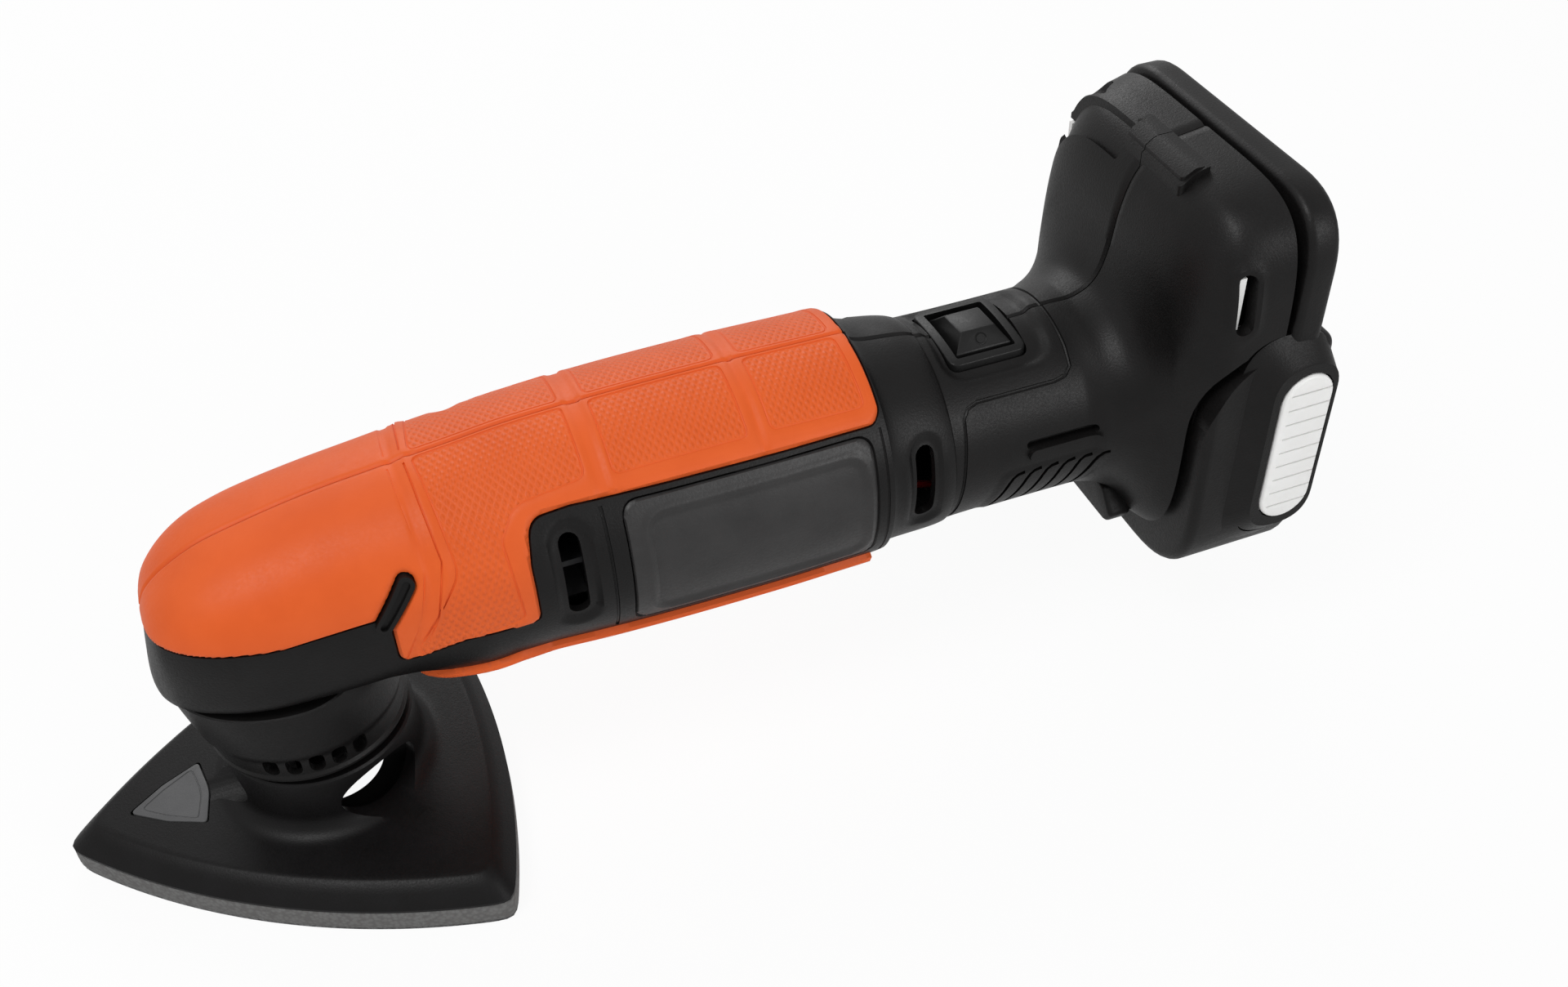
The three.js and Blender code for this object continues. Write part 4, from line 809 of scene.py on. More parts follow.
FOAM = cells_of("closed_cell_foam", "626160", "70706f", 0.9, 0.85, 0.12)
HOOKS = cells_of("hook_fabric", "2a2a2b", "4a4a4b", 0.7, 0.9, 0.3, Sheen_Weight=0.3)
RUBBER = moulded("moulded_rubber", "131313", "1a1a1a", 0.62, grain_mm=0.6)
SLEEVE_BLUE = moulded("shrink_sleeve_blue", "255f97", "2d6fae", 0.24, grain_mm=6.0, depth_mm=0.06)
PVC_RED = moulded("pvc_red", "8f1613", "a51b17", 0.3, grain_mm=1.2, depth_mm=0.02)


def circuit(name):
    """Solder mask with the faint relief of the tracks under it."""
    material, tree, shader, where = start(name, "1f5a37", 0.3)
    tracks = add(
        tree, "ShaderNodeTexBrick", {"offset": 0.5}, Vector=where, Scale=1000 / 4.0, Color1=rgba("1d5c38"),
        Color2=rgba("24683f"), Mortar=rgba("164a2c"), Mortar_Size=0.03,
    )
    tree.links.new(tracks.outputs["Color"], shader.inputs["Base Color"])
    emboss(tree, shader, tracks.outputs["Fac"], 0.05)
    return material


SOLDER_MASK = circuit("solder_mask_green")

# %% [markdown]
# ## The clamshell halves
# A glass-filled shell would be one moulding per side with ribs and bosses. Here a
# wrapped sheet makes its wall. It sinks under the soft skin and the side panel,
# and dishes softly round the two side vents and the switch. Holes, slots and fine
# seam lines are then cut by tools, because their edges are sharp on the real part.

# %% Housing relief
FAN_VENT = (54.2, 64.4)
REAR_VENT = (127.4, 61.2)
SCOOP = (158.6, 62.6)
LOUVRES = 6
PANEL_ROOM = 1.3
LATCH_SLOT = pill(187.6, 96, 3.4, 13)
SCOOP_CUT = pill(SCOOP[0], SCOOP[1] + 0.6, 1.9, 16.4, 90)
SCOOP_LIP = pill(SCOOP[0] + 0.5, SCOOP[1] - 1.9, 3.2, 16.6, 90)
SCOOP_SPAN, FINGER_SPAN = (146, 171), (8, 34)
RIB = (183, 189.6, -14.5, 8)
CHANNEL = rounded(181.4, 186.6, 6.4, 60, 0.8)
TAB = outline([(0.1, 30.2), (17.8, 30.2, 2.5), (19.8, 33.4, 1.5), (15.5, 38.5, 1.5), (0.1, 41)])


def louvre(k):
    """A slanted slit whose upper end hooks over the rib behind it."""
    bend = [(0, 0), (0.9, 3.2), (1.7, 6), (2.5, 8.6), (3.2, 10.1), (4.1, 10.8), (5.7, 11.1)]
    return stroke([(144.5 + 3.9 * k + u, 45.6 + v) for u, v in bend], 0.85)


def dish(sheet, shape, depth, width, view="side"):
    """A soft-edged hollow: depth inside the outline, fading over a width."""
    sheet.height -= depth * smooth(sheet.d(shape, view) / width + 0.5)


def house_relief(sheet):
    skin_room = [sheet.snap(top_grip_shape(CLEAR)), sheet.snap(belly_grip_shape(CLEAR))]
    panel_room = sheet.snap(panel_shape(CLEAR))
    for number, (inside, border) in enumerate([*skin_room, panel_room]):
        sunk = (faces_round(inside) > 0) & ~border
        depth = SKIN_T + 0.1 if number < 2 else PANEL_ROOM
        sheet.height = np.where(sunk, -depth, sheet.height)
    dish(sheet, pill(*FAN_VENT, 7.6, 23), 1.1, 1.4)
    dish(sheet, pill(*REAR_VENT, 6.8, 22), 1.0, 1.4)
    dish(sheet, rounded(SWITCH_X0 - 1.6, SWITCH_X1 + 4.4, -12.6, 12.6, 5), 1.1, 1.9, "plan")
    louvre_field = outline([(145.2, 57.8, 2), (170, 57.8, 3), (166.5, 44, 2), (142, 44, 2)])
    sheet.height += 0.4 * smooth(sheet.d(louvre_field) / 1.2)
    latch_rim = np.abs(sheet.d(LATCH_SLOT) + 0.9)
    sheet.height += 0.4 * (1 - smooth(latch_rim / 1.2))
    sheet.middle_groove(0.5, 0.6)


# %% Cutting tools of the housing
def vent_tools(side):
    """The vents, the louvres, the latch slot, the scoop and, on the right, the foot's channel."""
    tools = [
        side_prism(pill(*FAN_VENT, 4.1, 18.6), 10, 40, side), side_prism(pill(*REAR_VENT, 4.2, 17.6), 8, 40, side),
        *[side_prism(louvre(k), 10, 40, side) for k in range(LOUVRES)], side_prism(LATCH_SLOT, 20, 50, side),
        layer(SCOOP_SPAN, (0.35, 0.75), side, -1.9, 3, SCOOP_CUT, "y"),
    ]
    if side > 0:
        tools.append(layer((176, 192), (0.7, 1), side, -1.4, 4, CHANNEL, "z"))
    return tools


def inset(box, d):
    return box[0] + d, box[1] - d, box[2] + d, box[3] - d


def raised_parts(side):
    """The rib on the foot, the tab under it, the lip of the scoop and the finger in the skin."""
    return [
        *[layer((174, 193), (0.5, 1), side, -1, high, rounded(*inset(RIB, shrink), 1.2), "z")
          for shrink, high in ((0, 1.4), (0.6, 2))],
        one_side(prism(TAB, "x", 174.4, 179.8, 0.9), side),
        layer(SCOOP_SPAN, (0.3, 0.75), side, -1, 0.95, SCOOP_LIP, "y"),
        layer(FINGER_SPAN, (0.3, 0.95), side, -SKIN_T - 0.9, PROUD + 0.5, finger_shape(), "y"),
    ]


def pack_outlines(grow):
    """The battery's three blocks: the back slab, the lower pack and the button lobes."""
    y, r = FOOT_HALF_W + grow, SLAB_CORNER_HIGH + grow
    low, high, front = PACK_BOTTOM - grow, PACK_TOP + grow, FOOT_STEP_X + 2 - grow
    base = [(-y, low, SLAB_CORNER_LOW + grow), (y, low, SLAB_CORNER_LOW + grow)]
    slab = outline([*base, (y, FOOT_TOP + grow, r), (-y, FOOT_TOP + grow, r)], 13)
    lower = outline([*base, (y, high, 3), (-y, high, 3)], 13)
    shoulder = outline([(front, 0), (front, high, 21 - grow), (240, high), (240, 0)], 13)
    lobe = rounded(LOBE_FRONT - 2.4 - grow, PACK_REAR + grow, LOBE_BOTTOM - 1.6 - grow, high + 2.6, 10 + grow, 11)
    return slab, lower, shoulder, lobe


def pack_block(grow, bevel=0.0):
    """The thick lower pack: shoulders rounded in side view, with a square core for the cells.

    Grown, it is the room for the pack in the foot, and open to the rear.
    """
    _, lower, shoulder, _ = pack_outlines(grow)
    front, rear = FOOT_STEP_X + 2 - grow, PACK_REAR + (6 * grow if grow > 0 else grow)
    half = CELL_ROOM_HALF_W + grow
    block = new_object("block", prism(lower, "x", front, rear, bevel, 4))
    boolean(block, [prism(shoulder, "y", -80, 80)], "INTERSECT")
    core = prism(rounded(-half, half, PACK_BOTTOM + 8, PACK_TOP + grow, 3), "x", front, rear)
    return boolean(block, [core], "UNION")


def battery_room():
    slab, _, _, lobe = pack_outlines(PACK_GAP)
    return [
        prism(slab, "x", SLAB_FRONT - PACK_GAP, SLAB_REAR + 8), pack_block(PACK_GAP),
        prism(lobe, "y", -LOBE_Y - 8, LOBE_Y + 8),
    ]


def foot_step():
    step = outline([(FOOT_STEP_X, 0), (FOOT_STEP_X, FOOT_STEP_Z, 22), (260, FOOT_STEP_Z), (260, 0)], 15)
    return prism(step, "y", -80, 80)


def along_form(x, z0, z1, side, lift, count=26):
    """Points up the form's side at one place along it."""
    return [skin_point(x, z0 + (z1 - z0) * k / (count - 1), side, lift) for k in range(count)]


def handle_seam(side):
    """The line round the switch panel: back over the top, along the side, then down and under."""
    r = HANDLE_R - 0.08
    route = [(163, 90), (163, 60), (162.6, 48), (161, 43.5), (158.5, 42), (141, 42), (138.6, 40), (137.3, 35)]
    route += [(136.4, 10), (135.6, -30), (135.4, -60), (135.4, -90)]
    places = []
    for (xa, aa), (xb, ab) in zip(route, route[1:]):
        steps = max(2, int(math.hypot(xb - xa, (ab - aa) * 0.38) / 1.2))
        places += [(xa + (xb - xa) * k / steps, math.radians(aa + (ab - aa) * k / steps)) for k in range(steps)]
    places.append((route[-1][0], math.radians(route[-1][1])))
    return [Vector((x, side * r * math.cos(a), HANDLE_Z + r * math.sin(a))) for x, a in places]


def seam_tools(side):
    return [
        bead(handle_seam(side), 0.46),
        bead(along_form(61.3, 46.4, 77.2, side, 0.0), 0.36),
        bead([skin_point(117.9, 45.6 + k, side, 0.02) for k in range(33)], 0.28),
    ]


# %% Bosses and sleeves that hold the screws, on the right half
def sleeve(x, z, reach):
    outer, inner = SCREW_HEAD_R + 1.5, SCREW_HEAD_R + 0.3
    ring = turned([(0, 7.4), (outer, 7.4), (outer, reach), (inner, reach), (inner, 7.9), (0, 7.9)], 32)
    return shifted(spun(ring, -90, "X"), x, z)


def screw_ways(side, grow):
    """Holes that the screws go in through, all on the right. The foot's stays below its top edge."""
    width = 2 * (SCREW_HEAD_R + grow)
    rings = [pill(x, z, width, width, steps=17) for x, z in SCREWS if side > 0]
    return [prism([(u, min(v, FOOT_TOP - 2.6)) for u, v in ring], "y", 5, 60) for ring in rings]


def make_housing(word, side):
    seams = [BODY_END, BODY_END + 0.2, BODY_END + 0.4, RING_END, RING_END + 0.4]
    sheet = Sheet(STATIONS[0, 0], FOOT_REAR, 0, 1, SHELL_STEP, side, seams)
    house_relief(sheet)
    shell = new_object(f"{word}_shell", sheet.mesh(WALL))
    boolean(shell, raised_parts(side), "UNION")
    tools = [*vent_tools(side), *battery_room(), foot_step(), *seam_tools(side)]
    switch_hole = inset((SWITCH_X0, SWITCH_X1, -SWITCH_HALF_Y, SWITCH_HALF_Y), -CLEAR)
    tools += [
        layer(FINGER_SPAN, (0.3, 0.95), side, PROUD - 0.3, 4, finger_shape(-0.8), "y"),
        prism(rounded(*switch_hole, 2.2), "z", 68, 100),
        turned([(0, FLOOR_Z - 5), (SPINDLE_HOLE_R, FLOOR_Z - 5), (SPINDLE_HOLE_R, FLOOR_Z + 4), (0, FLOOR_Z + 4)]),
        *screw_ways(side, 0.3),
    ]
    boolean(shell, tools)
    if side > 0:
        sleeves = []
        for x, z in SCREWS:
            rim = SCREW_HEAD_R + 1.5
            reach = min(skin_point(x, z + rim, 1).y, skin_point(x, z - rim, 1).y) - 0.6
            if reach > 9.5:
                sleeves.append(sleeve(x, z, reach))
        boolean(shell, sleeves, "UNION")
    return finish_piece(shell, "housing", ABS_BLACK, f"{word}_housing")


for word, side in SIDES:
    make_housing(word, side)

# %% [markdown]
# ## The soft skin and the side panels
# The skin is let into the housing and stands a little proud, with a rolled edge
# all round. Its fields of diamonds sit a hair lower inside a fine border, and
# shallow bands cross it so that a palm finds its place. Under the body a lip of
# the same skin stands further out.

# %% Skin relief and pieces
def diamond_fields():
    """Outlines in (x, distance from the top centre line)."""
    first = outline([
        (31, 1.2, 1.5), (60, 1.2, 1), (60, 17.5, 2), (46, 18.5, 5), (42.2, 24, 4), (43.6, 41.5, 2), (24.5, 43.5, 2),
        (23.4, 40, 2), (33.4, 27, 6),
    ])
    return [first, rounded(65.3, 91.8, 1.2, 18.6, 1.6), rounded(96.6, 115.8, 1.2, 18.6, 1.6)]


def skin_bands(sheet):
    x, girth = sheet.flat("girth")
    bend = np.interp(girth, [0, 12, 26, 40, 60], [0, 0.6, 1.4, -4.5, -12])
    for place, width, depth in ((27.2, 1.6, 0.28), (30.0, 1.2, -0.22), (62.7, 2.6, 0.35), (94.2, 1.4, 0.32)):
        follow = bend if place < 35 else 0
        away = np.abs(x - place - follow)
        sheet.height -= depth * (1 - smooth((away - width / 2) / 0.7 + 0.5))


def skin_line(places, side, lift):
    """Points on the skin from (x, distance from the top centre line)."""
    share = np.linspace(0, 1, 240)
    made = []
    for x, g in places:
        ring, girth = half_rings([t_at(x)], share, lift)
        made.append(Vector([np.interp(-g, -girth[0], ring[0, :, c]) * (side if c == 1 else 1) for c in range(3)]))
    return made


def dense(shape, gap=1.2):
    """The same closed outline with a point at least every gap."""
    made = []
    for a, b in zip(shape, np.roll(shape, -1, axis=0)):
        steps = max(1, int(np.hypot(*(b - a)) / gap))
        made += [a + (b - a) * k / steps for k in range(steps)]
    return made


def skin_grooves(side):
    """Fine lines round the fields, and two that bend forward to the finger."""
    lines = [bead(skin_line(dense(field), side, PROUD + 0.2), 0.26, closed=True) for field in diamond_fields()]
    for place in (26.2, 29.4):
        girth = np.linspace(2, 42, 34)
        run = [(place + np.interp(g, [0, 12, 24, 34, 42], [0, 0.6, 1.6, -1.2, -5.5]), g) for g in girth]
        lines.append(bead(skin_line(run, side, PROUD + 0.3), 0.24))
    return lines


def make_top_grip(word, side):
    sheet = Sheet(STATIONS[0, 0], BODY_END, 0.3, 1, SKIN_STEP, side)
    sheet.keep, _ = sheet.snap(top_grip_shape())
    edge = np.minimum(sheet.d(top_grip_shape()), -sheet.d(finger_shape(CLEAR)))
    sheet.height += rolled(edge, 0.9, PROUD + 0.25)
    for field in diamond_fields():
        d = sheet.d(field, "girth")
        sheet.patch = np.maximum(sheet.patch, smooth(d / 0.8))
        sheet.height -= 0.22 * smooth(d / 0.7 + 0.5)
    skin_bands(sheet)
    sheet.middle_groove(0.5, 0.7)
    sheet.height = np.maximum(sheet.height, -0.9)
    grip = new_object(f"{word}_skin", sheet.mesh(SKIN_T - 0.1))
    boolean(grip, [side_prism(finger_shape(CLEAR), 5, 50, side), *skin_grooves(side), *screw_ways(side, 0.9)])
    return finish_piece(grip, "housing", SOFT_ORANGE, f"{word}_grip", 40)


def make_belly_grip(word, side):
    sheet = Sheet(20, BODY_END, 0, 0.42, SKIN_STEP, side)
    sheet.keep, _ = sheet.snap(belly_grip_shape())
    edge = sheet.d(belly_grip_shape())
    lip = np.exp(-np.clip(edge, 0, None) / 3.2)
    sheet.height += rolled(edge, 0.9, 0.9) + (LIP_PROUD - 0.9) * lip
    girth_up = sheet.girth.max(axis=1, keepdims=True) - sheet.girth
    sheet.height -= 0.4 * (1 - smooth(girth_up / 0.8))
    grip = new_object(f"{word}_belly_skin", sheet.mesh(SKIN_T - 0.1))
    if side > 0:
        boolean(grip, screw_ways(side, 0.9))
    return finish_piece(grip, "housing", SOFT_ORANGE, f"{word}_belly_grip", 40)


def make_panel(word, side):
    sheet = Sheet(62, BODY_END, 0.22, 0.78, SKIN_STEP, side)
    sheet.keep, _ = sheet.snap(panel_shape())
    sheet.height += rolled(sheet.d(panel_shape()), 0.5, 0.1)
    field = sheet.d(rounded(69.5, 113, 50.6, 73.4, 3.6))
    sheet.height -= 0.45 * smooth(field / 0.8 + 0.5)
    sheet.height += 0.3 * (1 - smooth(np.abs(field + 1.1) / 0.9))
    panel = new_object(f"{word}_panel", sheet.mesh(1.15))
    return finish_piece(panel, "housing", PANEL_PAINTED_HIGHLIGHT, f"{word}_side_panel")


for word, side in SIDES:
    make_top_grip(word, side)
    make_belly_grip(word, side)
    make_panel(word, side)

# %% [markdown]
# ## The sanding pad
# The platen, the foam and the hook face share one outline: a triangle with
# bulging sides whose radius, seen from its centre, is known at every angle. A
# ring of points can therefore be carried from the outline inwards to the round
# cup in a single loft, so the bevel, the flat and the cup stay one skin.

# %% Lofts around the pad's centre
RING_STEPS = 240
RING_ANGLES = np.arange(RING_STEPS) * 2 * math.pi / RING_STEPS


def pad_radius(inset):
    """How far the bulging triangle reaches at each angle, its corners softened."""
    half = math.asin(PAD_SIDE / 2 / PAD_ARC)
    back = PAD_ARC * math.cos(half) - PAD_SIDE / math.sqrt(3) / 2
    total = 0
    for facing in (0, 2 * math.pi / 3, -2 * math.pi / 3):
        off = RING_ANGLES - facing
        reach = -back * np.cos(off) + np.sqrt((PAD_ARC - inset) ** 2 - (back * np.sin(off)) ** 2)
        total = total + np.where(np.cos(off) > 0, np.exp(-reach / TIP_SOFTNESS), 0)
    return -TIP_SOFTNESS * np.log(total)


def loft(rings, centre_x=ORBIT):
    """A closed skin through rings of (radius at each angle, height); the last ring meets the first."""
    bm = bmesh.new()
    bmesh.ops.create_grid(bm, x_segments=RING_STEPS, y_segments=len(rings), size=1)
    places = []
    for radius, z in [*rings, rings[0]]:
        radius = np.broadcast_to(radius, RING_ANGLES.shape)
        ring = [(centre_x + r * math.cos(a), r * math.sin(a), z) for r, a in zip(radius, RING_ANGLES)]
        places += [*ring, ring[0]]
    for v, place in zip(bm.verts, places):
        v.co = place
    bmesh.ops.remove_doubles(bm, verts=bm.verts[:], dist=1e-3)
    bmesh.ops.recalc_face_normals(bm, faces=bm.faces[:])
    return bm


# %% Platen
def insert_shape(grow):
    """The grey insert near the pad's point."""
    tip, g = -PAD_SIDE / math.sqrt(3) + PLATEN_BEVEL * 2 + 5.4, grow
    return outline([
        (tip - 1.6 * g, 0, 1), (tip + 7, -4.9 - g, 8), (tip + 14.6 + g, -8.3 - g, 0.8), (tip + 16 + g, 0, 12),
        (tip + 14.6 + g, 8.3 + g, 0.8), (tip + 7, 4.9 + g, 8),
    ]) + (ORBIT, 0)


def ellipse(u, v, half_u, half_v, steps=40):
    angle = np.arange(steps) * 2 * math.pi / steps
    return np.stack([u + half_u * np.cos(angle), v + half_v * np.sin(angle)], -1)


def make_platen():
    brim = pad_radius(PLATEN_BEVEL + 0.4)
    root = CUP_R + 4.6
    rings = [
        (pad_radius(0.4), FOAM_TOP), (pad_radius(0.05), FOAM_TOP + 0.3), (pad_radius(0.05), EDGE_TOP - 0.2),
        (pad_radius(0.35), EDGE_TOP + 0.15), (pad_radius(PLATEN_BEVEL * 0.5), (EDGE_TOP + PLATEN_TOP) / 2 + 0.2),
        (pad_radius(PLATEN_BEVEL - 0.2), PLATEN_TOP - 0.15), (brim, PLATEN_TOP),
    ]
    rings += [(mix(brim, root, share), PLATEN_TOP) for share in (0.08, 0.3, 0.6, 0.85)]
    for k in range(9):
        a = k / 8 * math.pi / 2
        rings.append((root - 4.3 * math.sin(a), PLATEN_TOP + 4.3 * (1 - math.cos(a))))
    rings += [
        (CUP_R + 0.3, CUP_TOP - 1.6), (CUP_R + 0.2, CUP_TOP - 0.6), (CUP_R - 0.2, CUP_TOP - 0.1),
        (CUP_R - 0.6, CUP_TOP), (CUP_R - CUP_WALL + 0.3, CUP_TOP), (CUP_R - CUP_WALL, CUP_TOP - 0.3),
        (CUP_R - CUP_WALL, CUP_FLOOR), (PAD_HOLE_R, CUP_FLOOR), (PAD_HOLE_R, FOAM_TOP),
    ]
    platen = new_object("platen_plate", loft(rings))
    spokes, cuts = [], []
    for arm in range(3):
        facing = arm * 120
        spokes += [
            spun(prism(rounded(6.8, CUP_R - 0.7, -2.6, 2.6, 0.3), "z", 12.6, 18), facing),
            spun(prism(ellipse(13.6, 0, 4.7, 4.7), "z", 12.6, 20), facing),
        ]
        cuts += [
            spun(prism(ellipse(13.6, 0, 3.2, 3.2), "z", 14, 26), facing),
            spun(prism(ellipse(0, 17, 9.6, 6.3), "x", CUP_R - 5, CUP_R + 8), facing + 60),
        ]
    spokes.append(prism(ellipse(0, 0, 8.5, 8.5), "z", 12.6, 19))
    cuts += [prism(ellipse(0, 0, 5.3, 5.3), "z", 12, 14), prism(ellipse(0, 0, 6.65, 6.65), "z", 13.6, 21)]
    boolean(platen, [shifted(bm, ORBIT) for bm in spokes], "UNION")
    boolean(platen, [shifted(bm, ORBIT) for bm in cuts])
    boolean(platen, [prism(insert_shape(CLEAR), "z", PLATEN_TOP - 0.9, PLATEN_TOP + 2)])
    return finish_piece(platen, "pad", ABS_PLATEN, "platen", 30)


make_platen()


# %% Foam, hook face and insert
def make_foam():
    bulge = [(0.25, HOOK_H), (0.12, HOOK_H + 0.6), (0.02, 2.6), (0.05, 4.2), (0.1, FOAM_TOP - 0.3), (0.3, FOAM_TOP)]
    rings = [(pad_radius(inset), z) for inset, z in bulge]
    rings += [(PAD_HOLE_R, FOAM_TOP), (PAD_HOLE_R + 0.2, 3.2), (PAD_HOLE_R, HOOK_H)]
    foam = new_object("foam_backing", loft(rings))
    return finish_piece(foam, "pad", FOAM, "foam_pad", 40)


def make_hook():
    edge = [(0.45, 0.0), (0.3, 0.15), (0.3, HOOK_H - 0.1), (0.4, HOOK_H)]
    rings = [(pad_radius(inward), z) for inward, z in edge] + [(PAD_HOLE_R, HOOK_H), (PAD_HOLE_R, 0.0)]
    hook = new_object("hook_sheet", loft(rings))
    return finish_piece(hook, "pad", HOOKS, "hook_face", 40)


def make_insert():
    plate = prism(insert_shape(0), "z", PLATEN_TOP - 0.6, PLATEN_TOP + 0.15, 0.18, 2)
    insert = new_object("insert_plate", plate)
    border = [Vector((x, y, PLATEN_TOP + 0.15)) for x, y in insert_shape(-1.5)]
    boolean(insert, [bead(border, 0.16, closed=True)])
    return finish_piece(insert, "pad", INSERT_GREY, "tip_insert")


make_foam()
make_hook()
make_insert()

# %% [markdown]
# ## The collar
# A short skirt under the head hides the eccentric and lets the pad orbit. It is
# rounder at the bottom than at the top, and its lower edge has notches on both
# sides where the extraction air leaves.

# %% Collar
def collar_radius(front, rear, half_w):
    """An egg: an ellipse whose front and rear halves have their own reach."""
    reach = np.where(np.cos(RING_ANGLES) < 0, front, rear)
    return 1 / np.sqrt((np.cos(RING_ANGLES) / reach) ** 2 + (np.sin(RING_ANGLES) / half_w) ** 2)


def make_collar():
    heights = np.array([COLLAR_BOTTOM, 31, 36, 42.6, COLLAR_TOP])
    fronts, rears = np.array([19.9, 21, 22.2, 23.6, 24.2]), np.array([19.9, 19.9, 19.8, 19.4, 15.2])
    widths = np.array([19.9, 20.1, 20.2, 20.3, 20.2])
    levels = [COLLAR_BOTTOM, COLLAR_BOTTOM + 0.25, *np.linspace(27.8, COLLAR_TOP - 0.3, 26), COLLAR_TOP]
    rings = []
    for z in levels:
        here = [float(monotone(heights, values, np.array([z]))[0]) for values in (fronts, rears, widths)]
        rim = 0.3 if z in (COLLAR_BOTTOM, COLLAR_TOP) else 0
        ledge = 0.45 * (1 - smooth((z - 33.2) / 0.7))
        rings.append((collar_radius(*here) - rim - ledge + 0.45 * (z < 28.4), z))
    inner = [(collar_radius(21.4, 17.2, 18.2), 42.6), (collar_radius(18.9, 17.8, 18), 31), (17.8, COLLAR_BOTTOM)]
    rings += [(12.6, COLLAR_TOP), (12.6, 42.6), *inner]
    collar = new_object("collar_skirt", loft(rings, 0.0))
    facings = [side - 90 + 13 * k for side in (-92, 92) for k in range(-2, 3)]
    boolean(collar, [spun(prism(pill(0, 31.3, 3, 4.8), "y", 16, 26), facing) for facing in facings])
    return finish_piece(collar, "housing", ABS_BLACK, "collar", 30)


make_collar()

# %% [markdown]
# ## Screws
# Six thread-forming screws hold the halves together. They go in from the right
# side, so that side shows heads deep in their ways. A star socket is cut in each.

# %% Screws
def star(radius, steps=60):
    angle = np.arange(steps) * 2 * math.pi / steps
    r = radius * (0.86 + 0.14 * np.cos(6 * angle))
    return np.stack([r * np.cos(angle), r * np.sin(angle)], -1)


def make_screw(number, x, z):
    r = SCREW_HEAD_R - 0.2
    body = turned([
        (0, -6), (0.5, -6), (1.2, -4.6), (1.2, 7.9), (r - 0.15, 7.9), (r, 8.1), (r, 9.2), (r - 0.25, 9.8),
        (r - 0.9, 10.15), (0, 10.2),
    ], 32)
    screw = new_object(f"clamshell_screw_{number}", shifted(spun(body, -90, "X"), x, z))
    boolean(screw, [shifted(prism(star(1.35), "y", 8.8, 12), x, z)])
    return finish_piece(screw, "housing", DARK_STEEL, f"housing_screw_{number}")


for number, (x, z) in enumerate(SCREWS, 1):
    make_screw(number, x, z)

# %% [markdown]
# ## The rocker switch
# A faceted black rocker tips about X in a framed opening. The side towards the
# operator's left carries a ring, the other a bar, the usual signs for off and on.

# %% Bezel and rocker
ROCKER_MARK_R = 0.2
BEZEL_CROWN = 110


def make_bezel():
    plate = prism(rounded(SWITCH_X0, SWITCH_X1, -SWITCH_HALF_Y, SWITCH_HALF_Y, 2.4), "z", PIVOT_Z, SWITCH_TOP, 0.35)
    for k in range(-7, 8):
        whole = [*plate.verts, *plate.edges, *plate.faces]
        bmesh.ops.bisect_plane(plate, geom=whole, plane_co=(0, k * 1.2, 0), plane_no=(0, 1, 0))
    for v in plate.verts:
        if v.co.z > PIVOT_Z + 2:
            v.co.z -= v.co.y ** 2 / BEZEL_CROWN
    bezel = new_object("switch_frame", plate)
    opening = rounded(SWITCH_X0 + 2, SWITCH_X1 - 2, -SWITCH_HALF_Y + 1.7, SWITCH_HALF_Y - 1.7, 0.5)
    boolean(bezel, [prism(opening, "z", 60, 90)])
    return finish_piece(bezel, "housing", ABS_SMOOTH, "switch_bezel")


def make_rocker():
    a, b = SWITCH_X0 + 2 + CLEAR, SWITCH_X1 - 2 - CLEAR
    edge, top = SWITCH_HALF_Y - 1.7 - CLEAR, SWITCH_TOP
    near_low, near_high = Vector((0, -edge + 0.9, top - 0.7)), Vector((0, -3.9, top + 2.3))
    far_high, far_low = Vector((0, 3.7, top + 1.6)), Vector((0, edge - 0.3, top - 1.9))
    profile = [near_low.yz, near_high.yz, far_high.yz, far_low.yz, (edge - 0.8, PIVOT_Z - 1), (3, PIVOT_Z - 2.6),
               (-3, PIVOT_Z - 2.6), (-edge + 0.4, PIVOT_Z - 1)]
    body = prism([tuple(p) for p in profile], "x", a, b)
    centre = (a + b) / 2
    for v in body.verts:
        if v.co.z > top + 1:
            v.co.x = centre + (v.co.x - centre) * 0.6
    round_edges(body, [e for e in body.edges if e.is_manifold and e.calc_face_angle(0) > math.radians(20)], 0.3, 2)
    rocker = new_object("rocker_cap", body)
    up = (near_high - near_low).normalized()
    middle = (near_low + near_high) / 2 + Vector((centre, 0, 0))
    angles = np.linspace(0, 2 * math.pi, 25)[:-1]
    ring = [middle + 1.15 * (Vector((math.cos(t), 0, 0)) + up * math.sin(t)) for t in angles]
    down = (far_low - far_high).normalized()
    centre_far = (far_low + far_high) / 2 + Vector((centre, 0, 0))
    bar = [centre_far - down * 1.2, centre_far + down * 1.2]
    boolean(rocker, [bead(ring, ROCKER_MARK_R, closed=True), bead(bar, ROCKER_MARK_R)])
    return finish_piece(rocker, "rocker", ABS_SMOOTH, "rocker_button", 25)


make_bezel()
make_rocker()

# %% [markdown]
# ## The battery
# A plate with round corners closes the rear. Below it the pack thickens to hold
# three upright cells, and a lobe on each side frames a white release button. The
# blocks are extruded outlines with rolled edges, joined into one moulding.

